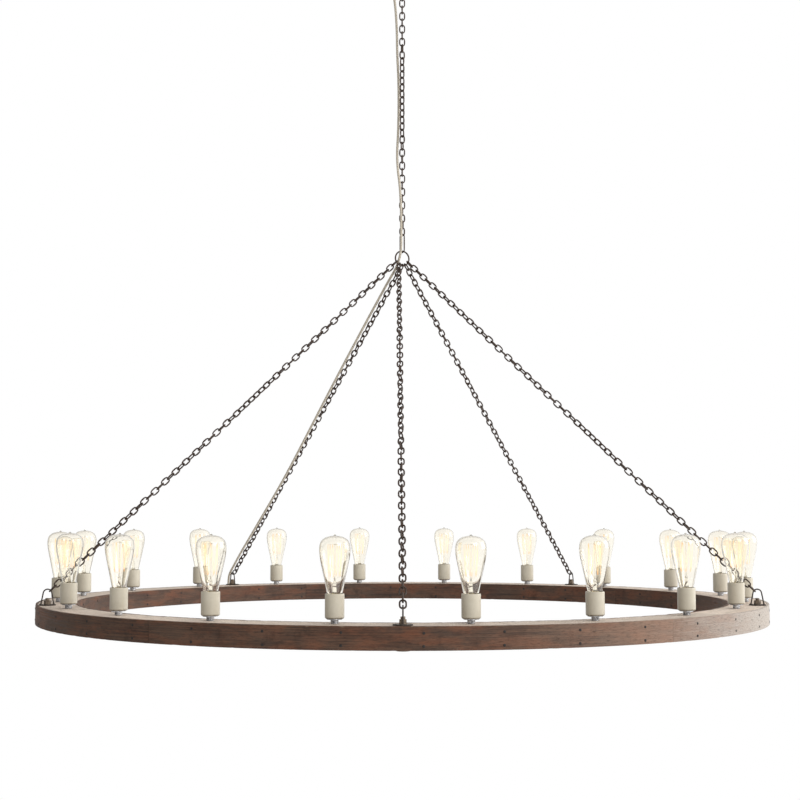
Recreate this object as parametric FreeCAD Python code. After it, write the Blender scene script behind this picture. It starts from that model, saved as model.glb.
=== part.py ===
"""Wagon wheel chandelier: a hollow timber rim with twenty lamps, hung from five chains.

Millimetres. The origin is the centre of the ceiling plane, +Z is up and -Y is the front.
Stations on the rim are given as angles from the front, growing towards +X.
"""
import FreeCAD, Part
import math
import os

V = FreeCAD.Vector
X_AXIS = V(1, 0, 0)
Y_AXIS = V(0, 1, 0)
Z_AXIS = V(0, 0, 1)

# ---- the wheel ----
RIM_OUTER_R = 914.4           # a 72 inch wheel
RIM_WIDTH = 101.6             # 4 inch boards
RIM_HEIGHT = 47.0
BAND_T = 6.0                  # bent outer and inner bands
TOP_BOARD_T = 16.0
BOTTOM_BOARD_T = 12.0
EDGE_CHAMFER = 1.0
FELLOES = 10                  # boards in each ring
BAND_STRIPS = 5               # bent strips in each band
TOP_JOINT_ANGLE = 13.5        # the first butt joint, clear of lamps, anchors and nails
BOTTOM_JOINT_ANGLE = 27.5
OUTER_STRIP_ANGLE = 37.5
INNER_STRIP_ANGLE = 57.5

NAIL_COLUMNS = 36
NAIL_FIRST_ANGLE = 2.5
NAIL_DEPTHS = (12.5, 38.5)    # below the rim's top: one row in each ring of boards
NAIL_HEAD_R = 3.0
NAIL_HEAD_T = 0.8
NAIL_SHANK_R = 1.1
NAIL_LENGTH = 26.0

# ---- the lamps ----
LAMPS = 20
LAMP_CIRCLE_R = 860.5
LAMP_FIRST_ANGLE = 9.0
NIPPLE_R = 4.8                # 3/8 inch threaded lamp tube
NIPPLE_BORE_R = 3.5
COUPLING_R = 8.0
COUPLING_TOP = 8.5            # heights from here on are above the rim's top
PLATE_TOP = 10.0
SOCKET_R = 19.4
SOCKET_TOP = 59.0
SOCKET_FLOOR = 29.0
SHELL_R = 14.5
SHELL_T = 0.55
CAP_R = 13.2                  # medium screw cap
CAP_BOTTOM = 33.0
CAP_TOP = 56.6
GLASS_T = 0.8
# outside of the glass: radius, height above the socket's top
GLASS_NECK = (13.6, -2.4)
GLASS_THROAT = (15.2, 1.0)
GLASS_WAIST = (26.8, 55.7)
GLASS_BELLY = ((30.4, 74.8), (31.4, 90.0))
GLASS_SHOULDER = ((28.6, 102.0), (20.8, 109.4))
GLASS_CROWN = ((12.0, 112.8), (2.6, 114.1))
GLASS_TIP = ((2.0, 115.7), (0.0, 116.6))
STRANDS = 12                  # straight runs of the cage filament
STRAND_R = 0.35
CAGE_TOP_R = 14.0
CAGE_BOTTOM_R = 11.5
CAGE_TOP = 155.5
CAGE_BOTTOM = 93.0

# ---- chains ----
LINK_WIRE = 3.8
LINK_LENGTH = 25.4
LINK_WIDTH = 16.6
HOOK_GAP = 0.2                # play between two hooked wires
MAIN_LINKS = 38               # with the top link
STAY_LINKS = 69
CARRIER_LENGTH = 52.0
CARRIER_WIDTH = 17.5
CARRIER_WIRE = 3.2
CARRIER_TURN = -40.0          # about Z, from the XZ plane
RING_R = 19.5                 # centre line of the gathering ring
RING_WIRE = 4.0
RING_TURN = 25.0

# ---- anchors ----
ANCHOR_CIRCLE_R = 888.0
# stay: anchor angle on the rim, angle of its first link round the gathering ring from its lowest point
STAYS = {
    "front": (0.0, -30.0),
    "right": (72.0, 60.0),
    "back_right": (144.0, 30.0),
    "back_left": (-144.0, 0.0),
    "left": (-72.0, -60.0),
}
PLATE_R = 20.0
PLATE_T = 2.5
BAIL_WIRE = 3.2
BAIL_FOOT = 15.0              # half the distance between the feet
BAIL_TOP_R = 10.0
BAIL_TOP_HEIGHT = 38.0        # centre line of the rod at the top of the bail
BOLT_R = 5.0
BOLT_HEAD_R = 15.0
BOLT_HEAD_T = 2.5
BOLT_END = 17.0
WASHER_R = 8.4
WASHER_T = 1.5
NUT_FLATS = 14.4
NUT_T = 7.6

# ---- ceiling ----
CANOPY_R = 65.0
CANOPY_DEPTH = 32.0
CANOPY_T = 1.2
CANOPY_FLAT_R = 36.0
STRAP_LENGTH = 106.0
STRAP_WIDTH = 20.0
STRAP_T = 2.5
STRAP_HOLE_SPACING = 88.9     # 3.5 inch box screws
STRAP_HOLE_R = 2.4
LOOP_WIRE = 5.0
LOOP_R = 13.0
LOOP_CENTRE_Z = -62.5
COLLAR_R = 12.0
COLLAR_T = 6.0

# ---- cloth cord ----
CORD_D = 6.5
CORD_GRIP_R = 3.0             # bushing and grommet squeeze the cloth a little
BUSHING_LENGTH = 20.0
CORD_START = (-24.0, 9.0)
GROMMET_OFFSET = 14.2         # beside the back left anchor's centre
GROMMET_R = 4.2
GROMMET_FLANGE_T = 0.8

LINK_CENTRE_LENGTH = LINK_LENGTH - LINK_WIRE
LINK_PITCH = LINK_CENTRE_LENGTH - LINK_WIRE - HOOK_GAP
CARRIER_CENTRE_LENGTH = CARRIER_LENGTH - CARRIER_WIRE
RIM_INNER_R = RIM_OUTER_R - RIM_WIDTH
BOARD_OUTER_R = RIM_OUTER_R - BAND_T
BOARD_INNER_R = RIM_INNER_R + BAND_T
BOTTOM_BOARD_TOP = BOTTOM_BOARD_T - RIM_HEIGHT


# ---------------------------------------------------------------- helpers

def polar(radius, angle, z=0.0):
    """Point at a radius and an angle from the front, towards +X."""
    turn = math.radians(angle)
    return V(radius * math.sin(turn), -radius * math.cos(turn), z)


def hook_reach(wire_a, wire_b):
    """Distance between the centre lines of two wires that hang in each other."""
    return (wire_a + wire_b) / 2 + HOOK_GAP


def revolved(outline):
    """Full turn about Z of a closed outline of (radius, z) points."""
    points = [V(r, 0, z) for r, z in outline]
    return Part.Face(Part.makePolygon(points + points[:1])).revolve(V(), Z_AXIS, 360)


def tube(outer_r, inner_r, z_low, z_high):
    """Round tube on the Z axis."""
    return revolved([(inner_r, z_low), (outer_r, z_low), (outer_r, z_high), (inner_r, z_high)])


def rod(start, end, radius):
    """Straight round rod between two points."""
    run = end - start
    return Part.makeCylinder(radius, run.Length, start, run)


def hexagon(flats, z_low, height):
    """Six-sided prism on the Z axis."""
    corner_r = flats / math.sqrt(3)
    corners = [polar(corner_r, 60 * i, z_low) for i in range(6)]
    return Part.Face(Part.makePolygon(corners + corners[:1])).extrude(V(0, 0, height))


def fused(shapes):
    """One solid out of several that overlap or touch."""
    return shapes[0].multiFuse(shapes[1:]).removeSplitter()


def framed(shape, origin, x_axis, z_axis):
    """Copy of a shape with its own X and Z axes laid along the given directions."""
    z_dir = V(z_axis).normalize()
    x_dir = (x_axis - z_dir * x_axis.dot(z_dir)).normalize()
    y_dir = z_dir.cross(x_dir)
    matrix = FreeCAD.Matrix(
        x_dir.x, y_dir.x, z_dir.x, origin.x,
        x_dir.y, y_dir.y, z_dir.y, origin.y,
        x_dir.z, y_dir.z, z_dir.z, origin.z,
        0, 0, 0, 1,
    )
    moved = shape.copy()
    moved.Placement = FreeCAD.Placement(matrix).multiply(shape.Placement)
    return moved


def at_station(shape, radius, angle, z):
    """Copy of a shape, whose own -Y points away from the wheel's centre, set at a station."""
    station = FreeCAD.Placement(polar(radius, angle, z), FreeCAD.Rotation(Z_AXIS, angle))
    moved = shape.copy()
    moved.Placement = station.multiply(shape.Placement)
    return moved


def ring_sector(outline, start_angle, sweep):
    """Part turn about Z of a closed outline of (radius, z) points, from a station angle."""
    points = [V(0, -r, z) for r, z in outline]
    face = Part.Face(Part.makePolygon(points + points[:1]))
    face.rotate(V(), Z_AXIS, start_angle)
    return face.revolve(V(), Z_AXIS, sweep)


def rounded_route(points):
    """Wire of straight runs joined by the largest tangent arcs that fit, and the arcs' radii."""
    edges = []
    radii = []
    here = points[0]
    for before, corner, after in zip(points, points[1:], points[2:]):
        into = (corner - before).normalize()
        out = (after - corner).normalize()
        half_turn = into.getAngle(out) / 2
        setback = 0.45 * min((corner - before).Length, (after - corner).Length)
        radii.append(setback / math.tan(half_turn))
        arc_start = corner - into * setback
        arc_end = corner + out * setback
        to_centre = (out - into).normalize()
        centre = corner + to_centre * (radii[-1] / math.cos(half_turn))
        middle = centre - to_centre * radii[-1]
        edges.append(Part.LineSegment(here, arc_start).toShape())
        edges.append(Part.Arc(arc_start, middle, arc_end).toShape())
        here = arc_end
    edges.append(Part.LineSegment(here, points[-1]).toShape())
    return Part.Wire(edges), radii


def swept_round(path, start, direction, radius):
    """Round bar along a wire of runs and arcs."""
    section = Part.Wire(Part.makeCircle(radius, start, direction))
    return path.makePipeShell([section], True, False)


def oval_link(length, width, wire_d):
    """Link of round wire with straight sides: long axis on Z, width on X, centred at the origin."""
    bow_r = (width - wire_d) / 2
    half_side = (length - width) / 2
    section = Part.Face(Part.Wire(Part.makeCircle(wire_d / 2, V(bow_r, 0, half_side), Z_AXIS)))
    bow = section.revolve(V(0, 0, half_side), V(0, -1, 0), 180)
    lower_bow = bow.copy()
    lower_bow.rotate(V(), Y_AXIS, 180)
    sides = [rod(V(x, 0, -half_side), V(x, 0, half_side), wire_d / 2) for x in (-bow_r, bow_r)]
    return fused([bow, lower_bow] + sides)


def smooth_step(value, low, high):
    """0 below low, 1 above high, and an even S between them."""
    share = min(max((value - low) / (high - low), 0.0), 1.0)
    return share * share * (3 - 2 * share)


# ---------------------------------------------------------------- the lines that everything hangs on

LOOP_LOW_Z = LOOP_CENTRE_Z - LOOP_R
TOP_LINK_HIGH_Z = LOOP_LOW_Z + hook_reach(LOOP_WIRE, LINK_WIRE)
TOP_LINK_LOW_Z = TOP_LINK_HIGH_Z - LINK_CENTRE_LENGTH
MAIN_LOW_Z = TOP_LINK_LOW_Z - (MAIN_LINKS - 1) * LINK_PITCH
CARRIER_HIGH_Z = MAIN_LOW_Z + hook_reach(LINK_WIRE, CARRIER_WIRE)
CARRIER_LOW_Z = CARRIER_HIGH_Z - CARRIER_CENTRE_LENGTH
RING_CENTRE_Z = CARRIER_LOW_Z + hook_reach(CARRIER_WIRE, RING_WIRE) - RING_R
RING_PLANE_X = V(math.cos(math.radians(RING_TURN)), math.sin(math.radians(RING_TURN)), 0)
BAIL_ARC_Z = BAIL_TOP_HEIGHT - BAIL_TOP_R


def ring_point(angle):
    """Point on the gathering ring's centre line, by the angle from its lowest point."""
    turn = math.radians(angle)
    return RING_PLANE_X * (RING_R * math.sin(turn)) + V(0, 0, RING_CENTRE_Z - RING_R * math.cos(turn))


def ring_tangent(angle):
    """Direction of the gathering ring's wire at that point."""
    turn = math.radians(angle)
    return RING_PLANE_X * math.cos(turn) + V(0, 0, math.sin(turn))


def stay_line(anchor_angle, ring_angle, rim_top_z):
    """Start on the ring's wire and end on the bail's rod, where the taut chain pulls square to the rod."""
    start = ring_point(ring_angle)
    slope = math.radians(45)
    for _ in range(12):
        hook_r = ANCHOR_CIRCLE_R - BAIL_TOP_R * math.cos(slope)
        hook_z = rim_top_z + BAIL_ARC_Z + BAIL_TOP_R * math.sin(slope)
        end = polar(hook_r, anchor_angle, hook_z)
        run = end - start
        slope = math.atan2(-run.z, math.hypot(run.x, run.y))
    return start, end


def stay_hook(run, ring_angle):
    """How far a stay's first bow lies behind the ring's wire: more where it pulls aslant."""
    across = V(run).normalize().cross(ring_tangent(ring_angle)).Length
    return hook_reach(RING_WIRE, LINK_WIRE) / across


def stay_pitch(run, ring_angle):
    """Distance from link to link in a stay that is taut over this run."""
    ends = LINK_CENTRE_LENGTH - stay_hook(run, ring_angle) - hook_reach(BAIL_WIRE, LINK_WIRE)
    return (run.Length - ends) / (STAY_LINKS - 1)


def rim_height_from_stays():
    """Rim's top, so that the back left stay is exactly its count of links long."""
    anchor_angle, ring_angle = STAYS["back_left"]
    rim_top_z = RING_CENTRE_Z - ANCHOR_CIRCLE_R
    for _ in range(30):
        start, end = stay_line(anchor_angle, ring_angle, rim_top_z)
        run = end - start
        excess = (stay_pitch(run, ring_angle) - LINK_PITCH) * (STAY_LINKS - 1)
        rim_top_z += excess * run.Length / -run.z
    return rim_top_z


RIM_TOP_Z = rim_height_from_stays()

# down the left and the back of the main chain, round its left side, then down its front
CORD_DROP_ROUTE = (
    (-24.0, 9.0, -52.0), (-24.0, 9.0, -80.0), (-17.5, 7.5, -126.0), (-13.8, 6.0, -190.0),
    (-13.2, 6.4, -252.0), (-9.6, 9.4, -318.0), (-9.0, 10.0, -392.0), (-10.2, 9.0, -462.0),
    (-13.6, 3.8, -520.0), (-12.0, -8.6, -566.0), (-5.6, -12.8, -616.0), (-2.4, -13.2, -680.0),
    (-2.4, -13.2, -738.0),
)
# on down, through the gathering ring, over and round the back left stay to the hole beside its anchor
CORD_STAY_ROUTE = (
    (-2.4, -13.2, -738.0), (-2.4, -13.2, -760.0), (-3.0, -11.8, -783.0), (-6.6, -2.4, -803.0),
    (-15.6, 10.8, -828.0), (-35.3, 34.7, -856.7), (-63.0, 71.2, -901.5), (-94.3, 111.4, -952.4),
    (-127.9, 154.9, -1007.9), (-165.4, 204.8, -1070.0), (-201.4, 254.4, -1130.3),
    (-237.0, 304.5, -1190.5), (-271.6, 353.5, -1249.3), (-306.4, 402.4, -1308.1),
    (-342.7, 452.5, -1367.8), (-380.5, 503.1, -1426.2), (-418.0, 553.7, -1481.9),
    (-455.1, 604.6, -1537.5), (-489.5, 651.8, -1588.5), (-514.7, 685.4, -1629.5),
    (-529.6, 704.8, -1653.5),
)
CORD_LAST_TURN = 19.0         # above the rim's top, on the axis of the hole


# ---------------------------------------------------------------- ceiling parts

def make_ceiling():
    """Strap, canopy and what hangs the chain and holds the cord there."""
    nipple_low_z = -CANOPY_DEPTH - COLLAR_T - 6.0
    strap = Part.makeBox(STRAP_LENGTH, STRAP_WIDTH, STRAP_T, V(-STRAP_LENGTH / 2, -STRAP_WIDTH / 2, -STRAP_T))
    for x in (-STRAP_HOLE_SPACING / 2, STRAP_HOLE_SPACING / 2):
        strap = strap.cut(Part.makeCylinder(STRAP_HOLE_R, STRAP_T, V(x, 0, -STRAP_T)))
    strap = strap.cut(Part.makeCylinder(NIPPLE_R, STRAP_T, V(0, 0, -STRAP_T)))
    earth_x = 26.0
    earth_r = 1.9
    strap = strap.cut(Part.makeCylinder(earth_r, STRAP_T, V(earth_x, 0, -STRAP_T)))

    earth_screw = Part.makeCylinder(earth_r, 6.0, V(earth_x, 0, -STRAP_T - 4.5))
    earth_head = Part.makeCylinder(4.0, 2.0, V(earth_x, 0, -STRAP_T - 4.5))
    earth_screw = fused([earth_screw, earth_head])
    earth_screw = earth_screw.cut(Part.makeBox(8.0, 1.0, 0.8, V(earth_x - 4.0, -0.5, -STRAP_T - 4.5)))

    locknut = hexagon(14.0, -STRAP_T - 3.0, 3.0)
    locknut = locknut.cut(Part.makeCylinder(NIPPLE_R, 3.0, V(0, 0, -STRAP_T - 3.0)))

    cord_hole = V(CORD_START[0], CORD_START[1], -CANOPY_DEPTH - 1)
    canopy = canopy_shell().cut(Part.makeCylinder(4.5, CANOPY_DEPTH, cord_hole))

    flange_r = 6.5
    bushing = revolved([
        (CORD_GRIP_R, -CANOPY_DEPTH + 5.0), (4.5, -CANOPY_DEPTH + 5.0), (4.5, -CANOPY_DEPTH),
        (flange_r, -CANOPY_DEPTH), (flange_r, -CANOPY_DEPTH - 2.0), (5.6, -CANOPY_DEPTH - 3.0),
        (4.4, -CANOPY_DEPTH - BUSHING_LENGTH), (CORD_GRIP_R, -CANOPY_DEPTH - BUSHING_LENGTH),
    ])
    bushing.translate(V(CORD_START[0], CORD_START[1], 0))

    collar = tube(COLLAR_R, NIPPLE_R, -CANOPY_DEPTH - COLLAR_T, -CANOPY_DEPTH)
    for i in range(16):
        groove = polar(COLLAR_R + 0.5, 22.5 * i, -CANOPY_DEPTH - COLLAR_T)
        collar = collar.cut(Part.makeCylinder(1.1, COLLAR_T, groove))

    connectors = []
    for x, y in ((4.0, 26.0), (22.0, 16.0), (12.0, -22.0)):
        connectors.append(Part.makeCone(4.0, 6.5, 19.0, V(x, y, -CANOPY_DEPTH + CANOPY_T)))

    return {
        "ceiling_strap": strap,
        "earth_screw": earth_screw,
        "strap_locknut": locknut,
        "canopy": canopy,
        "canopy_nipple": Part.makeCylinder(NIPPLE_R, -nipple_low_z, V(0, 0, nipple_low_z)),
        "cord_bushing": bushing,
        "collar_nut": collar,
        "canopy_loop": canopy_loop(nipple_low_z),
        "wire_connectors": Part.makeCompound(connectors),
    }


def canopy_shell():
    """Spun dish: upright lip at the ceiling, round side and flat middle with the nipple's hole."""
    lip = 4.0

    def side(offset):
        top = V(CANOPY_R - offset, 0, -lip)
        bend = V(CANOPY_R - 8.0 - offset, 0, -CANOPY_DEPTH + 10.0 + offset * 0.8)
        low = V(CANOPY_FLAT_R - offset * 0.4, 0, -CANOPY_DEPTH + offset)
        return top, bend, low

    outer_top, outer_bend, outer_low = side(0.0)
    inner_top, inner_bend, inner_low = side(CANOPY_T)
    hole_outer = V(NIPPLE_R + 0.2, 0, -CANOPY_DEPTH)
    hole_inner = V(NIPPLE_R + 0.2, 0, -CANOPY_DEPTH + CANOPY_T)
    rim_outer = V(CANOPY_R, 0, 0)
    rim_inner = V(CANOPY_R - CANOPY_T, 0, 0)
    outline = Part.Wire([
        Part.LineSegment(rim_outer, outer_top).toShape(),
        Part.Arc(outer_top, outer_bend, outer_low).toShape(),
        Part.LineSegment(outer_low, hole_outer).toShape(),
        Part.LineSegment(hole_outer, hole_inner).toShape(),
        Part.LineSegment(hole_inner, inner_low).toShape(),
        Part.Arc(inner_low, inner_bend, inner_top).toShape(),
        Part.LineSegment(inner_top, rim_inner).toShape(),
        Part.LineSegment(rim_inner, rim_outer).toShape(),
    ])
    return Part.Face(outline).revolve(V(), Z_AXIS, 360)


def canopy_loop(nipple_low_z):
    """Boss screwed on the nipple, with a closed ring in the YZ plane under it."""
    boss_top = -CANOPY_DEPTH - COLLAR_T
    boss_low = LOOP_CENTRE_Z + LOOP_R - 1.0
    boss = revolved([(0, boss_low), (4.5, boss_low), (8.0, boss_low + 4.0), (8.0, boss_top), (0, boss_top)])
    ring = Part.makeTorus(LOOP_R, LOOP_WIRE / 2, V(0, 0, LOOP_CENTRE_Z), X_AXIS)
    loop = fused([boss, ring])
    return loop.cut(Part.makeCylinder(NIPPLE_R, boss_top - nipple_low_z, V(0, 0, nipple_low_z)))


# ---------------------------------------------------------------- chains

def chain(link, first_centre, direction, pitch, width_axes):
    """Links in a row, each with its own direction across."""
    along = V(direction).normalize()
    links = []
    for i, width_axis in enumerate(width_axes):
        links.append(framed(link, first_centre + along * (pitch * i), width_axis, along))
    return links


def main_chain_turn(number):
    """Turn about Z of a main chain link: each a quarter turn on from the last, with a slow added twist."""
    slow_twist = 45 * smooth_step(number, 8, 13) + 45 * smooth_step(number, 21, 29)
    return 90 * (number - 1) + slow_twist + RING_TURN * smooth_step(number, 33, MAIN_LINKS)


def make_main_chain(link):
    """Top link, the rest of the main chain, the carrier link and the gathering ring."""
    turns = [math.radians(main_chain_turn(number)) for number in range(1, MAIN_LINKS + 1)]
    axes = [V(math.cos(turn), math.sin(turn), 0) for turn in turns]
    top_centre = V(0, 0, TOP_LINK_HIGH_Z - LINK_CENTRE_LENGTH / 2)
    links = chain(link, top_centre, V(0, 0, -1), LINK_PITCH, axes)
    carrier = oval_link(CARRIER_LENGTH, CARRIER_WIDTH, CARRIER_WIRE)
    carrier.Placement = FreeCAD.Placement(
        V(0, 0, (CARRIER_HIGH_Z + CARRIER_LOW_Z) / 2), FreeCAD.Rotation(Z_AXIS, CARRIER_TURN)
    )
    ring_normal = RING_PLANE_X.cross(Z_AXIS)
    return {
        "chain_top_link": links[0],
        "main_chain": Part.makeCompound(links[1:]),
        "carrier_link": carrier,
        "gathering_ring": Part.makeTorus(RING_R, RING_WIRE / 2, V(0, 0, RING_CENTRE_Z), ring_normal),
    }


def make_stay(link, anchor_angle, ring_angle):
    """Taut chain from the gathering ring to its bail."""
    start, end = stay_line(anchor_angle, ring_angle, RIM_TOP_Z)
    run = end - start
    along = V(run).normalize()
    pitch = stay_pitch(run, ring_angle)
    first_axis = ring_tangent(ring_angle).cross(along)
    first_axis = (first_axis - along * first_axis.dot(along)).normalize()
    across = along.cross(first_axis)
    # the last link lies square to the bail, so its width is level; the odd turn is spread over the chain
    level = polar(1.0, anchor_angle + 90)
    end_turn = math.degrees(math.atan2(level.dot(across), level.dot(first_axis)))
    quarter_turns = 90 * (STAY_LINKS - 1)
    odd_turn = (end_turn - quarter_turns + 90) % 180 - 90
    axes = []
    for i in range(STAY_LINKS):
        share = i / (STAY_LINKS - 1)
        wobble = 38 * math.sin(math.pi * share) * math.sin(math.radians(5 * anchor_angle / 3 + 900 * share))
        turn = math.radians(90 * i + odd_turn * share + wobble)
        axes.append(first_axis * math.cos(turn) + across * math.sin(turn))
    first_centre = start + along * (LINK_CENTRE_LENGTH / 2 - stay_hook(run, ring_angle))
    return chain(link, first_centre, along, pitch, axes), pitch


def make_stays(link):
    """The five stay chains."""
    nodes = {}
    for name, (anchor_angle, ring_angle) in STAYS.items():
        links, pitch = make_stay(link, anchor_angle, ring_angle)
        nodes["stay_chain_" + name] = Part.makeCompound(links)
        play = LINK_CENTRE_LENGTH - LINK_WIRE - pitch
        print(f"stay {name}: pitch {pitch:.3f}, play between links {play:.3f}")
    return nodes


# ---------------------------------------------------------------- anchors

def bail_shape():
    """Rod bent to a narrow U with spread feet, in the XZ plane of its own frame, feet on z = 0."""
    foot = V(BAIL_FOOT, 0, PLATE_T)
    arc_centre = V(0, 0, BAIL_ARC_Z)
    reach = foot - arc_centre
    tangent_turn = math.atan2(reach.z, reach.x) + math.acos(BAIL_TOP_R / reach.Length)
    shoulder = arc_centre + V(math.cos(tangent_turn), 0, math.sin(tangent_turn)) * BAIL_TOP_R
    top = arc_centre + V(0, 0, BAIL_TOP_R)
    far_shoulder = V(-shoulder.x, 0, shoulder.z)
    far_foot = V(-foot.x, 0, foot.z)
    path = Part.Wire([
        Part.LineSegment(foot, shoulder).toShape(),
        Part.Arc(shoulder, top, far_shoulder).toShape(),
        Part.LineSegment(far_shoulder, far_foot).toShape(),
    ])
    bar = swept_round(path, foot, shoulder - foot, BAIL_WIRE / 2)
    # the feet run a little into the plate's top and are trimmed level with it
    stubs = [Part.makeSphere(BAIL_WIRE / 2, point) for point in (foot, far_foot)]
    below = Part.makeBox(60, 20, 10, V(-30, -10, PLATE_T - 10))
    return fused([bar] + stubs).cut(below)


def make_anchors():
    """Base plates, bails, bolts, washers and nuts, five of each."""
    bail = bail_shape()
    bail.rotate(V(), Z_AXIS, 90)
    plate = revolved([
        (BOLT_R, 0), (PLATE_R, 0), (PLATE_R, PLATE_T - 0.6), (PLATE_R - 0.6, PLATE_T), (BOLT_R, PLATE_T),
    ])
    bolt = revolved([
        (0, -RIM_HEIGHT - BOLT_HEAD_T), (BOLT_HEAD_R - 1.5, -RIM_HEIGHT - BOLT_HEAD_T),
        (BOLT_HEAD_R, -RIM_HEIGHT - 1.0), (BOLT_HEAD_R, -RIM_HEIGHT), (BOLT_R, -RIM_HEIGHT),
        (BOLT_R, BOLT_END - 0.8), (BOLT_R - 0.8, BOLT_END), (0, BOLT_END),
    ])
    washer = tube(WASHER_R, BOLT_R, PLATE_T, PLATE_T + WASHER_T)
    nut_low = PLATE_T + WASHER_T
    corner_cone = revolved([
        (0, nut_low), (NUT_FLATS / 2 + 0.9, nut_low), (NUT_FLATS / 2 + 0.9, nut_low + NUT_T - 0.9),
        (NUT_FLATS / 2 - 0.2, nut_low + NUT_T), (0, nut_low + NUT_T),
    ])
    nut = hexagon(NUT_FLATS, nut_low, NUT_T).common(corner_cone)
    nut = nut.cut(Part.makeCylinder(BOLT_R, NUT_T, V(0, 0, nut_low)))
    cord_angle, _ = STAYS["back_left"]
    plates = []
    for angle, _ in STAYS.values():
        placed = at_station(plate, ANCHOR_CIRCLE_R, angle, RIM_TOP_Z)
        if angle == cord_angle:
            placed = placed.cut(Part.makeCylinder(GROMMET_R, 2 * PLATE_T, cord_entry(-PLATE_T / 2)))
        plates.append(placed)

    def around(shape):
        return Part.makeCompound([
            at_station(shape, ANCHOR_CIRCLE_R, angle, RIM_TOP_Z) for angle, _ in STAYS.values()
        ])

    return {
        "anchor_plates": Part.makeCompound(plates),
        "anchor_bails": around(bail),
        "anchor_bolts": around(bolt),
        "anchor_washers": around(washer),
        "anchor_nuts": around(nut),
    }


def cord_entry(height):
    """Point on the axis of the cord's hole beside the back left anchor, by height above the rim's top."""
    angle, _ = STAYS["back_left"]
    return polar(ANCHOR_CIRCLE_R, angle, RIM_TOP_Z + height) + polar(GROMMET_OFFSET, angle + 90)


# ---------------------------------------------------------------- rim

def board_ring(z_low, z_high, joint_angle):
    """Ring of boards, butted at their ends."""
    outline = [(BOARD_INNER_R, z_low), (BOARD_OUTER_R, z_low), (BOARD_OUTER_R, z_high), (BOARD_INNER_R, z_high)]
    sweep = 360 / FELLOES
    return [ring_sector(outline, joint_angle + sweep * i, sweep) for i in range(FELLOES)]


def band_ring(board_side_r, open_side_r, joint_angle):
    """Ring of bent strips of the rim's whole height, eased on the edges that show."""
    outward = 1 if open_side_r > board_side_r else -1
    eased_r = open_side_r - outward * EDGE_CHAMFER
    top = RIM_TOP_Z
    low = RIM_TOP_Z - RIM_HEIGHT
    outline = [
        (board_side_r, low), (eased_r, low), (open_side_r, low + EDGE_CHAMFER),
        (open_side_r, top - EDGE_CHAMFER), (eased_r, top), (board_side_r, top),
    ]
    sweep = 360 / BAND_STRIPS
    return [ring_sector(outline, joint_angle + sweep * i, sweep) for i in range(BAND_STRIPS)]


def bored(boards, holes):
    """Boards with every hole that reaches them cut out."""
    result = []
    for board in boards:
        near = [hole for hole in holes if board.BoundBox.intersect(hole.BoundBox)]
        result.append(board.cut(near) if near else board)
    return Part.makeCompound(result)


def make_rim():
    """Boards, bands and nails."""
    depth = RIM_HEIGHT + 2
    bolt_holes = [
        Part.makeCylinder(BOLT_R, depth, polar(ANCHOR_CIRCLE_R, angle, RIM_TOP_Z - depth + 1))
        for angle, _ in STAYS.values()
    ]
    nipple_holes = [
        Part.makeCylinder(NIPPLE_R, depth, polar(LAMP_CIRCLE_R, angle, RIM_TOP_Z - depth + 1))
        for angle in lamp_angles()
    ]
    cord_hole = Part.makeCylinder(GROMMET_R, TOP_BOARD_T + 2, cord_entry(-TOP_BOARD_T - 1))
    top_boards = board_ring(RIM_TOP_Z - TOP_BOARD_T, RIM_TOP_Z, TOP_JOINT_ANGLE)
    bottom_boards = board_ring(RIM_TOP_Z - RIM_HEIGHT, RIM_TOP_Z + BOTTOM_BOARD_TOP, BOTTOM_JOINT_ANGLE)
    return {
        "rim_top_boards": bored(top_boards, bolt_holes + nipple_holes + [cord_hole]),
        "rim_bottom_boards": bored(bottom_boards, bolt_holes),
        "rim_outer_band": Part.makeCompound(band_ring(BOARD_OUTER_R, RIM_OUTER_R, OUTER_STRIP_ANGLE)),
        "rim_inner_band": Part.makeCompound(band_ring(BOARD_INNER_R, RIM_INNER_R, INNER_STRIP_ANGLE)),
        "rim_nails": make_nails(),
    }


def make_nails():
    """Nails in pairs round both bands, driven into the edges of the boards."""
    nail = revolved([
        (0, 0), (NAIL_SHANK_R, 0), (NAIL_SHANK_R, NAIL_LENGTH), (NAIL_HEAD_R, NAIL_LENGTH),
        (NAIL_HEAD_R - 0.5, NAIL_LENGTH + NAIL_HEAD_T), (0, NAIL_LENGTH + NAIL_HEAD_T),
    ])
    nails = []
    for i in range(NAIL_COLUMNS):
        angle = NAIL_FIRST_ANGLE + 360 / NAIL_COLUMNS * i
        outward = polar(1.0, angle)
        for depth in NAIL_DEPTHS:
            outer_point = polar(RIM_OUTER_R - NAIL_LENGTH, angle, RIM_TOP_Z - depth)
            inner_point = polar(RIM_INNER_R + NAIL_LENGTH, angle, RIM_TOP_Z - depth)
            nails.append(framed(nail, outer_point, Z_AXIS, outward))
            nails.append(framed(nail, inner_point, Z_AXIS, -outward))
    return Part.makeCompound(nails)


# ---------------------------------------------------------------- lamps

def lamp_angles():
    """Stations of the lamps."""
    return [LAMP_FIRST_ANGLE + 360 / LAMPS * i for i in range(LAMPS)]


def around_lamps(shape):
    """A copy of a shape at every lamp."""
    return Part.makeCompound([at_station(shape, LAMP_CIRCLE_R, angle, RIM_TOP_Z) for angle in lamp_angles()])


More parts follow.
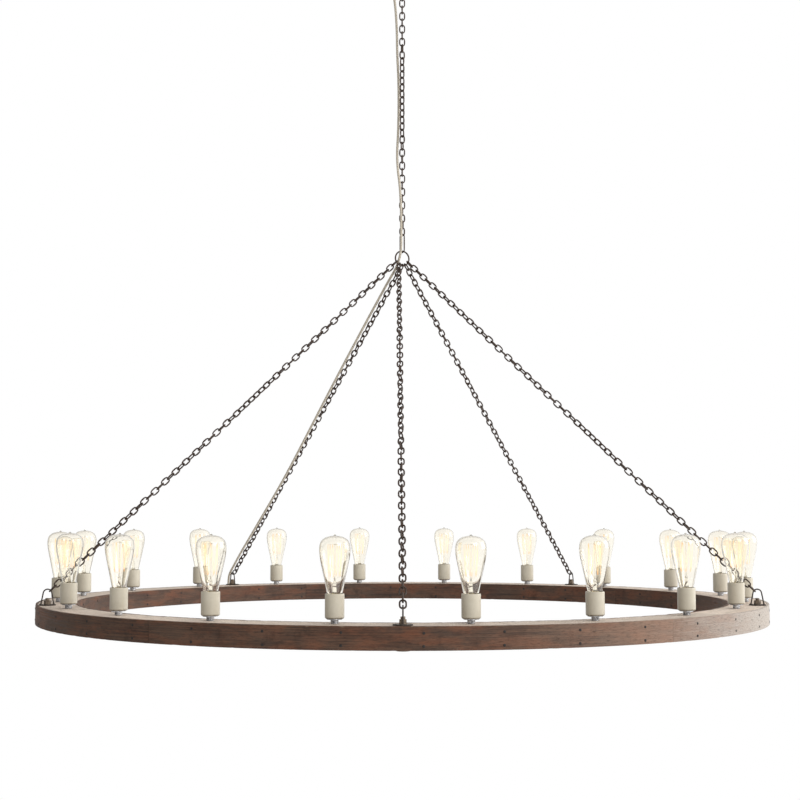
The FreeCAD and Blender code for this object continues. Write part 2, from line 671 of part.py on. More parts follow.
def make_sockets():
    """Everything of the lampholders, twenty of each piece."""
    body = revolved([
        (NIPPLE_R + 0.2, PLATE_TOP), (17.2, PLATE_TOP), (18.8, PLATE_TOP + 1.6), (SOCKET_R, PLATE_TOP + 3.4),
        (SOCKET_R, SOCKET_TOP - 1.6), (SOCKET_R - 0.9, SOCKET_TOP), (17.4, SOCKET_TOP), (17.2, SOCKET_TOP - 6.0),
        (SHELL_R, SOCKET_TOP - 7.6), (SHELL_R, SOCKET_FLOOR), (NIPPLE_R + 0.2, SOCKET_FLOOR),
    ])
    base_plate = tube(15.4, NIPPLE_R, COUPLING_TOP, PLATE_TOP)
    shell_inner_r = SHELL_R - SHELL_T
    shell = revolved([
        (6.0, SOCKET_FLOOR), (SHELL_R, SOCKET_FLOOR), (SHELL_R, SOCKET_TOP - 8.0), (shell_inner_r, SOCKET_TOP - 8.0),
        (shell_inner_r, SOCKET_FLOOR + SHELL_T), (6.0, SOCKET_FLOOR + SHELL_T),
    ])
    contact = revolved([
        (0, SOCKET_FLOOR - 4), (2.2, SOCKET_FLOOR - 4), (2.2, SOCKET_FLOOR + 0.4), (4.6, SOCKET_FLOOR + 0.4),
        (3.4, CAP_BOTTOM - 0.5), (0, CAP_BOTTOM - 0.5),
    ])
    screw_z = COUPLING_TOP / 2
    screw_r = 1.9
    screw_hole = Part.makeCylinder(screw_r, COUPLING_R, V(0, 0, screw_z), V(0, -1, 0))
    coupling = revolved([
        (NIPPLE_R, 0), (COUPLING_R - 0.6, 0), (COUPLING_R, 0.6), (COUPLING_R, COUPLING_TOP - 0.6),
        (COUPLING_R - 0.6, COUPLING_TOP), (NIPPLE_R, COUPLING_TOP),
    ]).cut(screw_hole)
    screw_length = COUPLING_R - NIPPLE_R
    screw = Part.makeCylinder(screw_r, screw_length, V(0, -NIPPLE_R - 0.1, screw_z), V(0, -1, 0))
    screw = screw.cut(Part.makeBox(5.0, 1.2, 0.7, V(-2.5, -COUPLING_R - 0.5, screw_z - 0.35)))
    locknut_low = -TOP_BOARD_T - 3.0
    locknut = hexagon(14.0, locknut_low, 3.0).cut(Part.makeCylinder(NIPPLE_R, 3.0, V(0, 0, locknut_low)))
    return {
        "socket_bodies": around_lamps(body),
        "socket_base_plates": around_lamps(base_plate),
        "socket_screw_shells": around_lamps(shell),
        "socket_contacts": around_lamps(contact),
        "socket_couplings": around_lamps(coupling),
        "socket_set_screws": around_lamps(screw),
        "socket_nipples": around_lamps(tube(NIPPLE_R, NIPPLE_BORE_R, -22.0, 14.0)),
        "socket_locknuts": around_lamps(locknut),
    }


def make_wiring():
    """Two ring wires on the bottom boards, two leads up into each socket's nipple, and two feed leads."""
    wire_r = 1.6
    lead_r = 0.9
    half_gap = 4.3
    wire_z = RIM_TOP_Z + BOTTOM_BOARD_TOP + wire_r
    lead_low_z = wire_z + wire_r + lead_r
    pieces = []
    for side in (-1, 1):
        ring_r = LAMP_CIRCLE_R + side * half_gap
        pieces.append(Part.makeTorus(ring_r, wire_r, V(0, 0, wire_z)))
        for angle in lamp_angles():
            high = polar(LAMP_CIRCLE_R + side * 1.1, angle, RIM_TOP_Z - 18.0)
            pieces.append(rod(polar(ring_r, angle, lead_low_z), high, lead_r))
        entry = cord_entry(-TOP_BOARD_T - 1.0)
        outward = V(entry.x, entry.y, 0).normalize()
        aside = outward.cross(Z_AXIS) * (side * 1.3)
        feed_end = outward * ring_r + V(0, 0, lead_low_z)
        pieces.append(rod(entry + aside, feed_end + aside, lead_r))
    return Part.makeCompound(pieces)


def glass_line(offset):
    """Points from the neck to the crown of the glass, moved inwards by an offset."""
    line = [V(*GLASS_NECK, 0), V(*GLASS_THROAT, 0)]
    start = V(*GLASS_WAIST, 0)
    for steps, (middle, end) in ((4, GLASS_BELLY), (6, GLASS_SHOULDER), (4, GLASS_CROWN)):
        line += Part.Arc(start, V(*middle, 0), V(*end, 0)).toShape().discretize(steps + 1)[:-1]
        start = V(*end, 0)
    line.append(start)
    moved = [(line[0].x - offset, line[0].y)]
    for before, point, after in zip(line, line[1:], line[2:]):
        inward = (after - before).cross(V(0, 0, -1)).normalize()
        moved.append((point.x - inward.x * offset, point.y - inward.y * offset))
    return moved


def glass_envelope():
    """Teardrop glass of even thickness, open at the neck, with the sealed tip on its top."""
    outer = glass_line(0.0) + [GLASS_CROWN[-1]] + list(GLASS_TIP)
    inner = glass_line(GLASS_T) + [(0.0, GLASS_CROWN[-1][1] - GLASS_T)]
    return revolved([(r, SOCKET_TOP + h) for r, h in outer + inner[::-1]])


def make_bulb():
    """One bulb in its socket's frame: glass, screw cap, stem with hooks, and the cage filament."""
    cap = revolved([
        (0, CAP_BOTTOM), (4.6, CAP_BOTTOM), (4.6, CAP_BOTTOM + 1.0), (10.8, CAP_BOTTOM + 3.4),
        (CAP_R, CAP_BOTTOM + 5.0), (CAP_R, CAP_TOP), (0, CAP_TOP),
    ])
    stem = revolved([
        (0, CAP_TOP), (7.0, CAP_TOP), (5.0, CAP_TOP + 6.0), (3.2, CAP_TOP + 18.0), (3.4, CAP_TOP + 24.0),
        (1.0, CAP_TOP + 28.0), (1.0, CAGE_TOP - 1.5), (2.6, CAGE_TOP - 0.8), (2.6, CAGE_TOP + 0.8),
        (0, CAGE_TOP + 2.0),
    ])
    hook_r = 0.3
    spokes = []
    for i in range(STRANDS // 2):
        high_turn = 60 * i + 30
        low_turn = 60 * i + 60
        spokes.append(rod(V(0, 0, CAGE_TOP), polar(CAGE_TOP_R - STRAND_R - 0.1, high_turn, CAGE_TOP), hook_r))
        low_end = polar(CAGE_BOTTOM_R - STRAND_R - 0.1, low_turn, CAGE_BOTTOM)
        spokes.append(rod(V(0, 0, CAGE_BOTTOM - 6.0), low_end, hook_r))
    mount = fused([stem] + spokes)
    corners = []
    for i in range(STRANDS + 1):
        turn = 30 * i
        if i % 2:
            corners.append(polar(CAGE_TOP_R, turn, CAGE_TOP))
        else:
            corners.append(polar(CAGE_BOTTOM_R, turn * (355 / 360), CAGE_BOTTOM))
    filament = [rod(a, b, STRAND_R) for a, b in zip(corners, corners[1:])]
    filament += [Part.makeSphere(STRAND_R, corner) for corner in corners[1:-1]]
    return Part.makeCompound([glass_envelope(), cap, mount, fused(filament)])


# ---------------------------------------------------------------- cord

def cord(name, points):
    """Cloth cord along a route; prints its arcs' radii and its volume against section times length."""
    path, radii = rounded_route(points)
    solid = swept_round(path, points[0], points[1] - points[0], CORD_D / 2)
    expected = math.pi * CORD_D ** 2 / 4 * path.Length
    print(f"{name}: {path.Length:.0f} long, volume ratio {solid.Volume / expected:.4f}, arc radii",
          [round(radius) for radius in radii])
    return solid


def make_cord():
    """The two lengths of cord and the grommet that the lower one goes into."""
    grommet_top = PLATE_T + GROMMET_FLANGE_T
    grommet = revolved([
        (CORD_GRIP_R, -TOP_BOARD_T), (GROMMET_R, -TOP_BOARD_T), (GROMMET_R, PLATE_T),
        (GROMMET_R + 0.4, PLATE_T), (GROMMET_R + 0.4, grommet_top), (CORD_GRIP_R, grommet_top),
    ])
    grommet.translate(cord_entry(0))
    drop_route = [V(*point) for point in CORD_DROP_ROUTE]
    stay_route = [V(*point) for point in CORD_STAY_ROUTE]
    stay_route += [cord_entry(CORD_LAST_TURN), cord_entry(grommet_top)]
    print("last points of the cord:", [tuple(round(x, 3) for x in point) for point in stay_route[-2:]])
    return {
        "cord_drop": cord("cord_drop", drop_route),
        "cord_stay": cord("cord_stay", stay_route),
        "cord_grommet": grommet,
    }


# ---------------------------------------------------------------- the whole chandelier

def make_nodes():
    """Every sub-part by its name."""
    link = oval_link(LINK_LENGTH, LINK_WIDTH, LINK_WIRE)
    nodes = {}
    nodes.update(make_ceiling())
    nodes.update(make_main_chain(link))
    nodes.update(make_stays(link))
    nodes.update(make_anchors())
    nodes.update(make_rim())
    nodes.update(make_sockets())
    nodes["rim_wiring"] = make_wiring()
    nodes.update(make_cord())
    bulb = make_bulb()
    for number, angle in enumerate(lamp_angles(), start=1):
        nodes[f"bulb_{number:02d}"] = at_station(bulb, LAMP_CIRCLE_R, angle, RIM_TOP_Z)
    return nodes


def main():
    """Writes one STEP file per sub-part."""
    os.makedirs("parts", exist_ok=True)
    print(f"gathering ring centre {RING_CENTRE_Z:.2f}, rim top {RIM_TOP_Z:.2f}")
    print(f"hinges: loop {LOOP_LOW_Z:.2f}, top link {TOP_LINK_LOW_Z:.2f}, last link {MAIN_LOW_Z:.2f}, "
          f"carrier {CARRIER_LOW_Z:.2f}")
    for name, shape in make_nodes().items():
        if not shape.isValid():
            print("not valid:", name)
        shape.exportStep(os.path.join("parts", name + ".step"))


main()
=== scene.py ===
"""The looks of a wagon wheel chandelier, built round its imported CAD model.

The origin is the centre of the ceiling plane, +Z is up and -Y is the front. Shapes are worked out in
millimetres, as in the part's source, and put into meshes in metres. A station on the wheel is an angle
in degrees from the front, growing towards +X.
"""

import logging
import math
from dataclasses import dataclass
from enum import Enum
from typing import Any, Iterable, Sequence

import bmesh
import bpy
import numpy as np
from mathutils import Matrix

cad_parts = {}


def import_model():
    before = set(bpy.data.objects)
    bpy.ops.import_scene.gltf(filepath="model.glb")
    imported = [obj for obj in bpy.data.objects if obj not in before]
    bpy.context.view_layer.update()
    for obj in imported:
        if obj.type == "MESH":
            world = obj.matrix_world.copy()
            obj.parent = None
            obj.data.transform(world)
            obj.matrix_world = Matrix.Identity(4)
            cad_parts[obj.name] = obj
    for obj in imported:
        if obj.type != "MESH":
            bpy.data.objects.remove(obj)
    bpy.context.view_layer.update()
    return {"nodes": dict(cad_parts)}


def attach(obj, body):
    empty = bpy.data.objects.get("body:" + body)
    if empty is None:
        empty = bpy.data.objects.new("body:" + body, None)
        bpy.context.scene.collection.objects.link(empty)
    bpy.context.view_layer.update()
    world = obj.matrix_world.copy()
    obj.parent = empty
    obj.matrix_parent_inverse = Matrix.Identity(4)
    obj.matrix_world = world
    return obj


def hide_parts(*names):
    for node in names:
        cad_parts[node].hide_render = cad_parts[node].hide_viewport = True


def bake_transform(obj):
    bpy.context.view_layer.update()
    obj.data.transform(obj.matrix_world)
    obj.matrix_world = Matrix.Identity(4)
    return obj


Array = np.ndarray
Colour = tuple[float, float, float]
# A millimetre in metres, and the height of the rim's top in millimetres.
MM = 0.001
RIM_TOP = -1689.390
log = logging.getLogger("chandelier")


# ---------------------------------------------------------------- arithmetic on whole arrays

def polar(radius: Any, angle: Any, z: Any = 0.0) -> Array:
    """Points at a radius and a station: (radius sin angle, -radius cos angle, z).

    Args:
        radius: distance from the Z axis, a number or an array.
        angle: station in degrees.
        z: height.

    Returns:
        Array of points, one more axis than the widest argument.
    """
    turn = np.radians(angle)
    parts = np.broadcast_arrays(radius * np.sin(turn), -radius * np.cos(turn), np.asarray(z, float))
    return np.stack(parts, axis=-1)


def unit(vectors: Array) -> Array:
    """Vectors divided by their lengths."""
    return vectors / np.maximum(np.linalg.norm(vectors, axis=-1, keepdims=True), 1e-12)


def ease(share: Any) -> Any:
    """S curve 3t^2 - 2t^3 of a share that is first held between 0 and 1."""
    held = np.clip(share, 0.0, 1.0)
    return held * held * (3 - 2 * held)


def wander(at: Array, seed: int) -> Array:
    """Smooth random line from 0 to 1: random heights at the whole numbers, joined by S curves.

    Args:
        at: places along the line.
        seed: which line.

    Returns:
        Height at each place.
    """
    heights = np.random.default_rng(seed).random(1024)
    low = np.floor(at).astype(int)
    share = ease(at - low)
    return heights[low % 1024] * (1 - share) + heights[(low + 1) % 1024] * share


def eased(outline: Sequence[tuple[float, float]], setback: float, steps: int = 4,
          closed: bool = False) -> Array:
    """Outline with each corner replaced by a short curve that starts and ends a setback away from it.

    The curve is (1-t)^2 A + 2t(1-t) P + t^2 B, with P the corner and A, B on the two runs beside it.

    Args:
        outline: corners in a plane.
        setback: how far along each run the curve reaches, at most 0.45 of the run.
        steps: points on each curve.
        closed: whether the last corner runs on to the first.

    Returns:
        The new outline, an array of (across, up) points.
    """
    corners = np.array(outline, float)
    before = np.roll(corners, 1, axis=0) - corners
    after = np.roll(corners, -1, axis=0) - corners

    def reach(run: Array) -> Array:
        """How far along a run its curve reaches."""
        length = np.linalg.norm(run, axis=1, keepdims=True)
        return unit(run) * np.minimum(setback, 0.45 * length)

    share = np.linspace(0, 1, steps)[None, :, None]
    start = (corners + reach(before))[:, None]
    end = (corners + reach(after))[:, None]
    middle = corners[:, None]
    curves = (1 - share) ** 2 * start + 2 * share * (1 - share) * middle + share ** 2 * end
    if closed:
        return curves.reshape(-1, 2)
    return np.concatenate([corners[:1], curves[1:-1].reshape(-1, 2), corners[-1:]])


def flowing(points: Sequence[tuple[float, ...]], steps: int) -> Array:
    """Smooth line through points: between two of them it is the cubic whose end slopes are half the
    difference of the points on either side.

    Args:
        points: what the line goes through.
        steps: pieces between two points.

    Returns:
        Array of points on the line.
    """
    knots = np.array(points, float)
    padded = np.concatenate([2 * knots[:1] - knots[1:2], knots, 2 * knots[-1:] - knots[-2:-1]])
    before, start, end, after = (padded[i:len(padded) - 3 + i, None] for i in range(4))
    t = (np.arange(steps) / steps)[None, :, None]
    line = 0.5 * (2 * start + (end - before) * t + (2 * before - 5 * start + 4 * end - after) * t ** 2
                  + (3 * start - before - 3 * end + after) * t ** 3)
    return np.concatenate([line.reshape(-1, knots.shape[1]), knots[-1:]])


def about_z(angle: Any) -> Array:
    """Matrices that turn a shape whose own -Y points outwards to a station."""
    turn = np.radians(np.asarray(angle, float))
    zero = np.zeros_like(turn)
    rows = [np.cos(turn), -np.sin(turn), zero, np.sin(turn), np.cos(turn), zero, zero, zero, zero + 1]
    return np.stack(rows, axis=-1).reshape(turn.shape + (3, 3))


def level(angle: Any) -> Array:
    """Level directions at angles in degrees from +X towards +Y."""
    turn = np.radians(np.asarray(angle, float))
    return np.stack([np.cos(turn), np.sin(turn), 0 * turn], axis=-1)


# ---------------------------------------------------------------- surfaces

@dataclass
class Surface:
    """Four-sided faces with, at each point, a share of worn edge and the tone of its piece."""

    points: Array
    quads: Array
    uv: Array
    edge: Array
    tone: Array

    @classmethod
    def grid(cls, points: Array, uv: Array | None = None, edge: Any = 0.0, tone: Any = 0.0,
             wrap_rows: bool = False, wrap_columns: bool = False) -> "Surface":
        """Faces between neighbouring points of a grid of rows and columns.

        Args:
            points: rows x columns x 3, in millimetres.
            uv: places on the grain, in millimetres, with one more row or column where that way wraps.
            edge: worn-edge share, broadcast over the grid.
            tone: tone of the piece, broadcast over the grid.
            wrap_rows: whether the last row joins the first.
            wrap_columns: whether the last column joins the first.

        Returns:
            The surface.
        """
        rows, columns = points.shape[:2]
        i = np.arange(rows if wrap_rows else rows - 1)[:, None]
        j = np.arange(columns if wrap_columns else columns - 1)[None, :]
        if uv is None:
            uv = np.zeros((rows + 1, columns + 1, 2))
        steps = ((0, 0), (0, 1), (1, 1), (1, 0))
        quads = np.stack([((i + a) % rows) * columns + (j + b) % columns for a, b in steps], axis=-1)
        corners = np.stack([uv[i + a, j + b] for a, b in steps], axis=2)
        return cls(
            points.reshape(-1, 3).astype(float), quads.reshape(-1, 4), corners.reshape(-1, 2),
            np.broadcast_to(edge, (rows, columns)).ravel().astype(float),
            np.broadcast_to(tone, (rows, columns)).ravel().astype(float),
        )

    def placed(self, turns: Array, shifts: Array, tones: Array | None = None) -> "Surface":
        """Copies of the surface, each turned by its matrix and then shifted.

        Args:
            turns: count x 3 x 3.
            shifts: count x 3.
            tones: one tone for each copy, or none to keep the surface's own.

        Returns:
            One surface of all the copies.
        """
        count, size = len(turns), len(self.points)
        points = np.einsum("nij,kj->nki", turns, self.points) + np.asarray(shifts)[:, None]
        quads = self.quads[None] + (np.arange(count) * size)[:, None, None]
        tone = np.tile(self.tone, count) if tones is None else np.repeat(tones, size)
        return Surface(points.reshape(-1, 3), quads.reshape(-1, 4), np.tile(self.uv, (count, 1)),
                       np.tile(self.edge, count), tone)

    def piece(self, name: str, material: bpy.types.Material, crease: float = 38.0) -> bpy.types.Object:
        """Mesh object in metres, its seams and poles merged and its faces turned outwards.

        Args:
            name: the object's name.
            material: its finish.
            crease: edges sharper than this many degrees are shaded sharp.

        Returns:
            The object, at the origin.
        """
        mesh = bpy.data.meshes.new(name)
        count = len(self.quads)
        mesh.vertices.add(len(self.points))
        mesh.vertices.foreach_set("co", (self.points * MM).astype(np.float32).ravel())
        mesh.loops.add(count * 4)
        mesh.loops.foreach_set("vertex_index", self.quads.astype(np.int32).ravel())
        mesh.polygons.add(count)
        mesh.polygons.foreach_set("loop_start", np.arange(0, count * 4, 4, dtype=np.int32))
        mesh.update(calc_edges=True)
        mesh.uv_layers.new(name="grain").data.foreach_set("uv", (self.uv * MM).astype(np.float32).ravel())
        for label, values in (("worn", self.edge), ("tone", self.tone)):
            mesh.attributes.new(label, "FLOAT", "POINT").data.foreach_set("value", values.astype(np.float32))
        work = bmesh.new()
        work.from_mesh(mesh)
        bmesh.ops.remove_doubles(work, verts=work.verts, dist=2e-6)
        bmesh.ops.recalc_face_normals(work, faces=work.faces)
        work.to_mesh(mesh)
        work.free()
        mesh.polygons.foreach_set("use_smooth", np.ones(len(mesh.polygons), bool))
        mesh.set_sharp_from_angle(angle=math.radians(crease))
        mesh.materials.append(material)
        made = bpy.data.objects.new(name, mesh)
        bpy.context.scene.collection.objects.link(made)
        return made


def joined(surfaces: Iterable[Surface]) -> Surface:
    """One surface out of several."""
    parts = list(surfaces)
    starts = np.cumsum([0] + [len(part.points) for part in parts[:-1]])
    return Surface(
        np.concatenate([part.points for part in parts]),
        np.concatenate([part.quads + start for part, start in zip(parts, starts)]),
        np.concatenate([part.uv for part in parts]),
        np.concatenate([part.edge for part in parts]),
        np.concatenate([part.tone for part in parts]),
    )


def turned(outline: Array, segments: int, closed: bool = False, edge: Any = 0.0) -> Surface:
    """Turned shape: an outline of (radius, z) carried right round the Z axis.

    Args:
        outline: k x 2 points, from pole to pole, or a ring if closed.
        segments: steps round the axis.
        closed: whether the outline's last point joins its first.
        edge: worn-edge share of each outline point.

    Returns:
        The surface. Its UV runs round it and along the outline.
    """
    angle = np.arange(segments) * 360 / segments
    points = polar(outline[:, :1], angle[None, :], outline[:, 1:])
    runs = np.linalg.norm(np.diff(outline, axis=0, append=outline[:1]), axis=1)
    along = np.concatenate([[0], np.cumsum(runs)])[:len(outline) + closed]
    around = np.linspace(0, 2 * math.pi * outline[:, 0].max(), segments + 1)
    uv = np.stack(np.broadcast_arrays(around[None, :], along[:, None]), axis=-1)
    edges = np.broadcast_to(np.reshape(edge, (-1, 1)), (len(outline), segments))
    return Surface.grid(points, uv, edges, wrap_rows=closed, wrap_columns=True)


def round_bar(path: Array, across: Array, radius: Any, sides: int, loop: bool = False,
              tone: float = 0.0) -> Surface:
    """Round bar along a path: centre + radius (cos a * across + sin a * (tangent x across)).

    An open path's ends are closed.

    Args:
        path: n x 3 centres.
        across: a direction, or one for each centre, that is made square to the path.
        radius: one number or one for each centre.
        sides: points round the bar.
        loop: whether the path closes on itself.
        tone: tone of the piece.

    Returns:
        The surface. Its UV runs along the bar and round it.
    """
    centres = np.asarray(path, float)
    if loop:
        tangent = unit(np.roll(centres, -1, axis=0) - np.roll(centres, 1, axis=0))
    else:
        tangent = unit(np.gradient(centres, axis=0))
    side = np.broadcast_to(across, centres.shape)
    side = unit(side - tangent * (side * tangent).sum(axis=1, keepdims=True))
    other = np.cross(tangent, side)
    turn = np.arange(sides) * 2 * math.pi / sides
    reach = np.broadcast_to(radius, (len(centres),))[:, None, None]
    ring = np.cos(turn)[None, :, None] * side[:, None] + np.sin(turn)[None, :, None] * other[:, None]
    points = centres[:, None] + reach * ring
    runs = np.linalg.norm(np.diff(centres, axis=0, append=centres[:1]), axis=1)
    along = np.concatenate([[0], np.cumsum(runs)])[:len(centres) + loop]
    if not loop:
        points = np.concatenate([np.broadcast_to(centres[:1, None], (1, sides, 3)), points,
                                 np.broadcast_to(centres[-1:, None], (1, sides, 3))])
        along = np.concatenate([along[:1], along, along[-1:]])
    around = np.linspace(0, 2 * math.pi * float(np.max(radius)), sides + 1)
    uv = np.stack(np.broadcast_arrays(along[:, None], around[None, :]), axis=-1)
    return Surface.grid(points, uv, 0.0, tone, wrap_rows=loop, wrap_columns=True)


def round_wheel(surface: Surface, radius: float, angle: Array, seed: int) -> Surface:
    """A copy at each station of a circle on the rim's top, each with its own tone.

    Args:
        surface: what is copied, its foot at the origin and its front towards -Y.
        radius: the circle's.
        angle: the stations.
        seed: for the tones.

    Returns:
        One surface of all the copies.
    """
    tones = np.random.default_rng(seed).random(len(angle))
    return surface.placed(about_z(angle), polar(radius, angle, RIM_TOP), tones)


# ---------------------------------------------------------------- shader graphs

class Graph:
    """Adds nodes to a shader tree and joins them."""

    def __init__(self, tree: bpy.types.NodeTree) -> None:
        """Keeps the tree that the nodes go into."""
        self.tree = tree

    def fill(self, node: bpy.types.Node, inputs: dict[Any, Any]) -> bpy.types.Node:
        """Sets or links a node's sockets.

        Args:
            node: the node.
            inputs: socket name or number to a value, or to the socket that feeds it.

        Returns:
            The node.
        """
        for key, value in inputs.items():
            socket = node.inputs[key]
            if isinstance(value, bpy.types.NodeSocket):
                self.tree.links.new(value, socket)
            else:
                socket.default_value = (*value, 1.0) if socket.type == "RGBA" else value
        return node

    def add(self, kind: str, inputs: dict[Any, Any] | None = None, **settings: Any) -> bpy.types.Node:
        """One node.

        Args:
            kind: the node's type without its "ShaderNode" prefix.
            inputs: what goes into its sockets.
            settings: properties of the node.

        Returns:
            The node.
        """
        node = self.tree.nodes.new("ShaderNode" + kind)
        for label, value in settings.items():
            setattr(node, label, value)
        return self.fill(node, inputs or {})

    def group(self, tree: bpy.types.NodeTree, inputs: dict[str, Any]) -> Any:
        """Outputs of a shared group with its inputs set."""
        return self.add("Group", inputs, node_tree=tree).outputs

    def place(self) -> bpy.types.NodeSocket:
        """Object coordinates."""
        return self.add("TexCoord").outputs["Object"]

    def uv(self) -> bpy.types.NodeSocket:
        """Place on the grain, from the piece's own UV map."""
        return self.add("UVMap", uv_map="grain").outputs["UV"]

    def attribute(self, label: str) -> bpy.types.NodeSocket:
        """A number kept at each point of the mesh."""
        return self.add("Attribute", attribute_name=label).outputs["Fac"]

    def parts(self, vector: Any) -> Any:
        """The three parts of a vector."""
        return self.add("SeparateXYZ", {0: vector}).outputs

    def maths(self, operation: str, first: Any, second: Any = 0.0) -> bpy.types.NodeSocket:
        """Sum, difference or other function of two numbers."""
        return self.add("Math", {0: first, 1: second}, operation=operation).outputs[0]

    def times(self, first: Any, second: Any) -> bpy.types.NodeSocket:
        """Product of two numbers."""
        return self.maths("MULTIPLY", first, second)

    def stretched(self, vector: Any, scale: tuple[float, float, float]) -> bpy.types.NodeSocket:
        """A vector with each of its parts multiplied."""
        return self.add("Mapping", {"Vector": vector, "Scale": scale}).outputs[0]

    def noise(self, vector: Any, scale: Any = 1.0, detail: float = 3.0, rough: float = 0.55,
              bend: float = 0.0) -> bpy.types.NodeSocket:
        """Cloudy noise from 0 to 1."""
        return self.add("TexNoise", {"Vector": vector, "Scale": scale, "Detail": detail, "Roughness": rough,
                                     "Distortion": bend}).outputs["Fac"]

    def band(self, value: Any, low: float, high: float, to_low: float = 0.0, to_high: float = 1.0) -> Any:
        """S curve from one value to another as the input goes from low to high."""
        return self.add("MapRange", {"Value": value, "From Min": low, "From Max": high, "To Min": to_low,
                                     "To Max": to_high}, interpolation_type="SMOOTHSTEP").outputs[0]

    def blend(self, share: Any, first: Any, second: Any, kind: str = "MIX") -> bpy.types.NodeSocket:
        """Mix of two colours."""
        return self.add("Mix", {0: share, 6: first, 7: second}, data_type="RGBA", blend_type=kind).outputs[2]

    def ramp(self, value: Any, stops: Sequence[tuple[float, Colour]]) -> bpy.types.NodeSocket:
        """Colours along a line from 0 to 1.

        Args:
            value: place on the line.
            stops: places and their colours, from low to high.

        Returns:
            The colour.
        """
        node = self.add("ValToRGB", {"Fac": value})
        elements = node.color_ramp.elements
        while len(elements) < len(stops):
            elements.new(0.5)
        for element, (at, colour) in zip(elements, stops):
            element.position = at
            element.color = (*colour, 1.0)
        return node.outputs["Color"]

    def bump(self, height: Any, depth: float, strength: float = 1.0) -> bpy.types.NodeSocket:
        """Normal of a surface raised by a height of 0 to 1 times a depth in metres."""
        return self.add("Bump", {"Height": height, "Distance": depth, "Strength": strength}).outputs[0]


def shared_group(name: str, inputs: dict[str, str], outputs: Sequence[str]) -> tuple[Graph, Any, Any]:
    """Empty node group with named sockets.

    Args:
        name: the group's name.
        inputs: socket name to its kind.
        outputs: names of the numbers that it gives.

    Returns:
        A graph to add nodes with, the group's inputs by name, and its output node.
    """
    tree = bpy.data.node_groups.new(name, "ShaderNodeTree")
    for label, kind in inputs.items():
        tree.interface.new_socket(label, in_out="INPUT", socket_type="NodeSocket" + kind)
    for label in outputs:
        tree.interface.new_socket(label, in_out="OUTPUT", socket_type="NodeSocketFloat")
    return Graph(tree), tree.nodes.new("NodeGroupInput").outputs, tree.nodes.new("NodeGroupOutput")


class Effects:
    """The node groups that several finishes share."""

    def __init__(self) -> None:
        """Builds each group once."""
        self.grain = self._grain()
        self.mottle = self._mottle()
        self.wear = self._wear()

    def _grain(self) -> bpy.types.NodeTree:
        """Wood grain along U: long streaks, fine pores, broad figure, and their height."""
        g, given, made = shared_group("wood_grain", {"Along": "Vector", "Tone": "Float"},
                                      ("Streaks", "Pores", "Figure", "Height"))
        split = g.parts(given["Along"])
        layer = g.times(given["Tone"], 31.0)
        moved = g.add("CombineXYZ", {0: split[0], 1: split[1], 2: layer}).outputs[0]
        figure = g.noise(g.stretched(moved, (11.0, 36.0, 1.0)), detail=5.0, rough=0.66, bend=0.3)
        streaks = g.noise(g.stretched(moved, (7.0, 330.0, 1.0)), detail=5.0, rough=0.62, bend=0.25)
        fine = g.noise(g.stretched(moved, (60.0, 1500.0, 1.0)), detail=2.0, rough=0.6)
        pores = g.band(fine, 0.34, 0.46)
        height = g.maths("ADD", g.times(streaks, 0.7), g.times(pores, 0.3))
        g.fill(made, {"Streaks": streaks, "Pores": pores, "Figure": figure, "Height": height})
        return g.tree

    def _mottle(self) -> bpy.types.NodeTree:
        """Cloudy patches and small specks at a size that is given."""
        g, given, made = shared_group("mottle", {"Place": "Vector", "Size": "Float", "Tone": "Float"},
                                      ("Patches", "Specks"))
        shift = g.add("CombineXYZ", {0: given["Tone"], 1: given["Tone"]}).outputs[0]
        place = g.add("VectorMath", {0: given["Place"], 1: shift}, operation="ADD").outputs[0]
        patches = g.noise(place, given["Size"], detail=4.0, rough=0.6)
        specks = g.noise(place, g.times(given["Size"], 9.0), detail=2.0, rough=0.7)
        g.fill(made, {"Patches": g.band(patches, 0.32, 0.68), "Specks": g.band(specks, 0.52, 0.7)})
        return g.tree

    def _wear(self) -> bpy.types.NodeTree:
        """Mask of rubbed edges: the kept edge share, broken up by noise."""
        g, given, made = shared_group("edge_wear", {"Place": "Vector", "Edge": "Float", "Amount": "Float"},
                                      ("Mask",))
        cloud = g.noise(given["Place"], 90.0, detail=5.0, rough=0.65)
        share = g.times(given["Edge"], given["Amount"])
        total = g.maths("ADD", share, g.maths("SUBTRACT", cloud, 0.5))
        g.fill(made, {"Mask": g.band(total, 0.28, 0.5)})
        return g.tree


# ---------------------------------------------------------------- finishes

class Recipe:
    """A finish that can be made into a material."""

    def sockets(self, g: Graph, effects: Effects) -> dict[str, Any]:
        """What goes into the shader's sockets, by their names."""
        raise NotImplementedError

    def material(self, name: str, effects: Effects) -> bpy.types.Material:
        """The finish as a material with one Principled shader.

        Args:
            name: the material's name.
            effects: the shared node groups.

        Returns:
            The material.
        """
        made = bpy.data.materials.new(name)
        made.use_nodes = True
        made.node_tree.nodes.clear()
        g = Graph(made.node_tree)
        shader = g.add("BsdfPrincipled", self.sockets(g, effects))
        g.add("OutputMaterial", {"Surface": shader.outputs[0]})
        return made


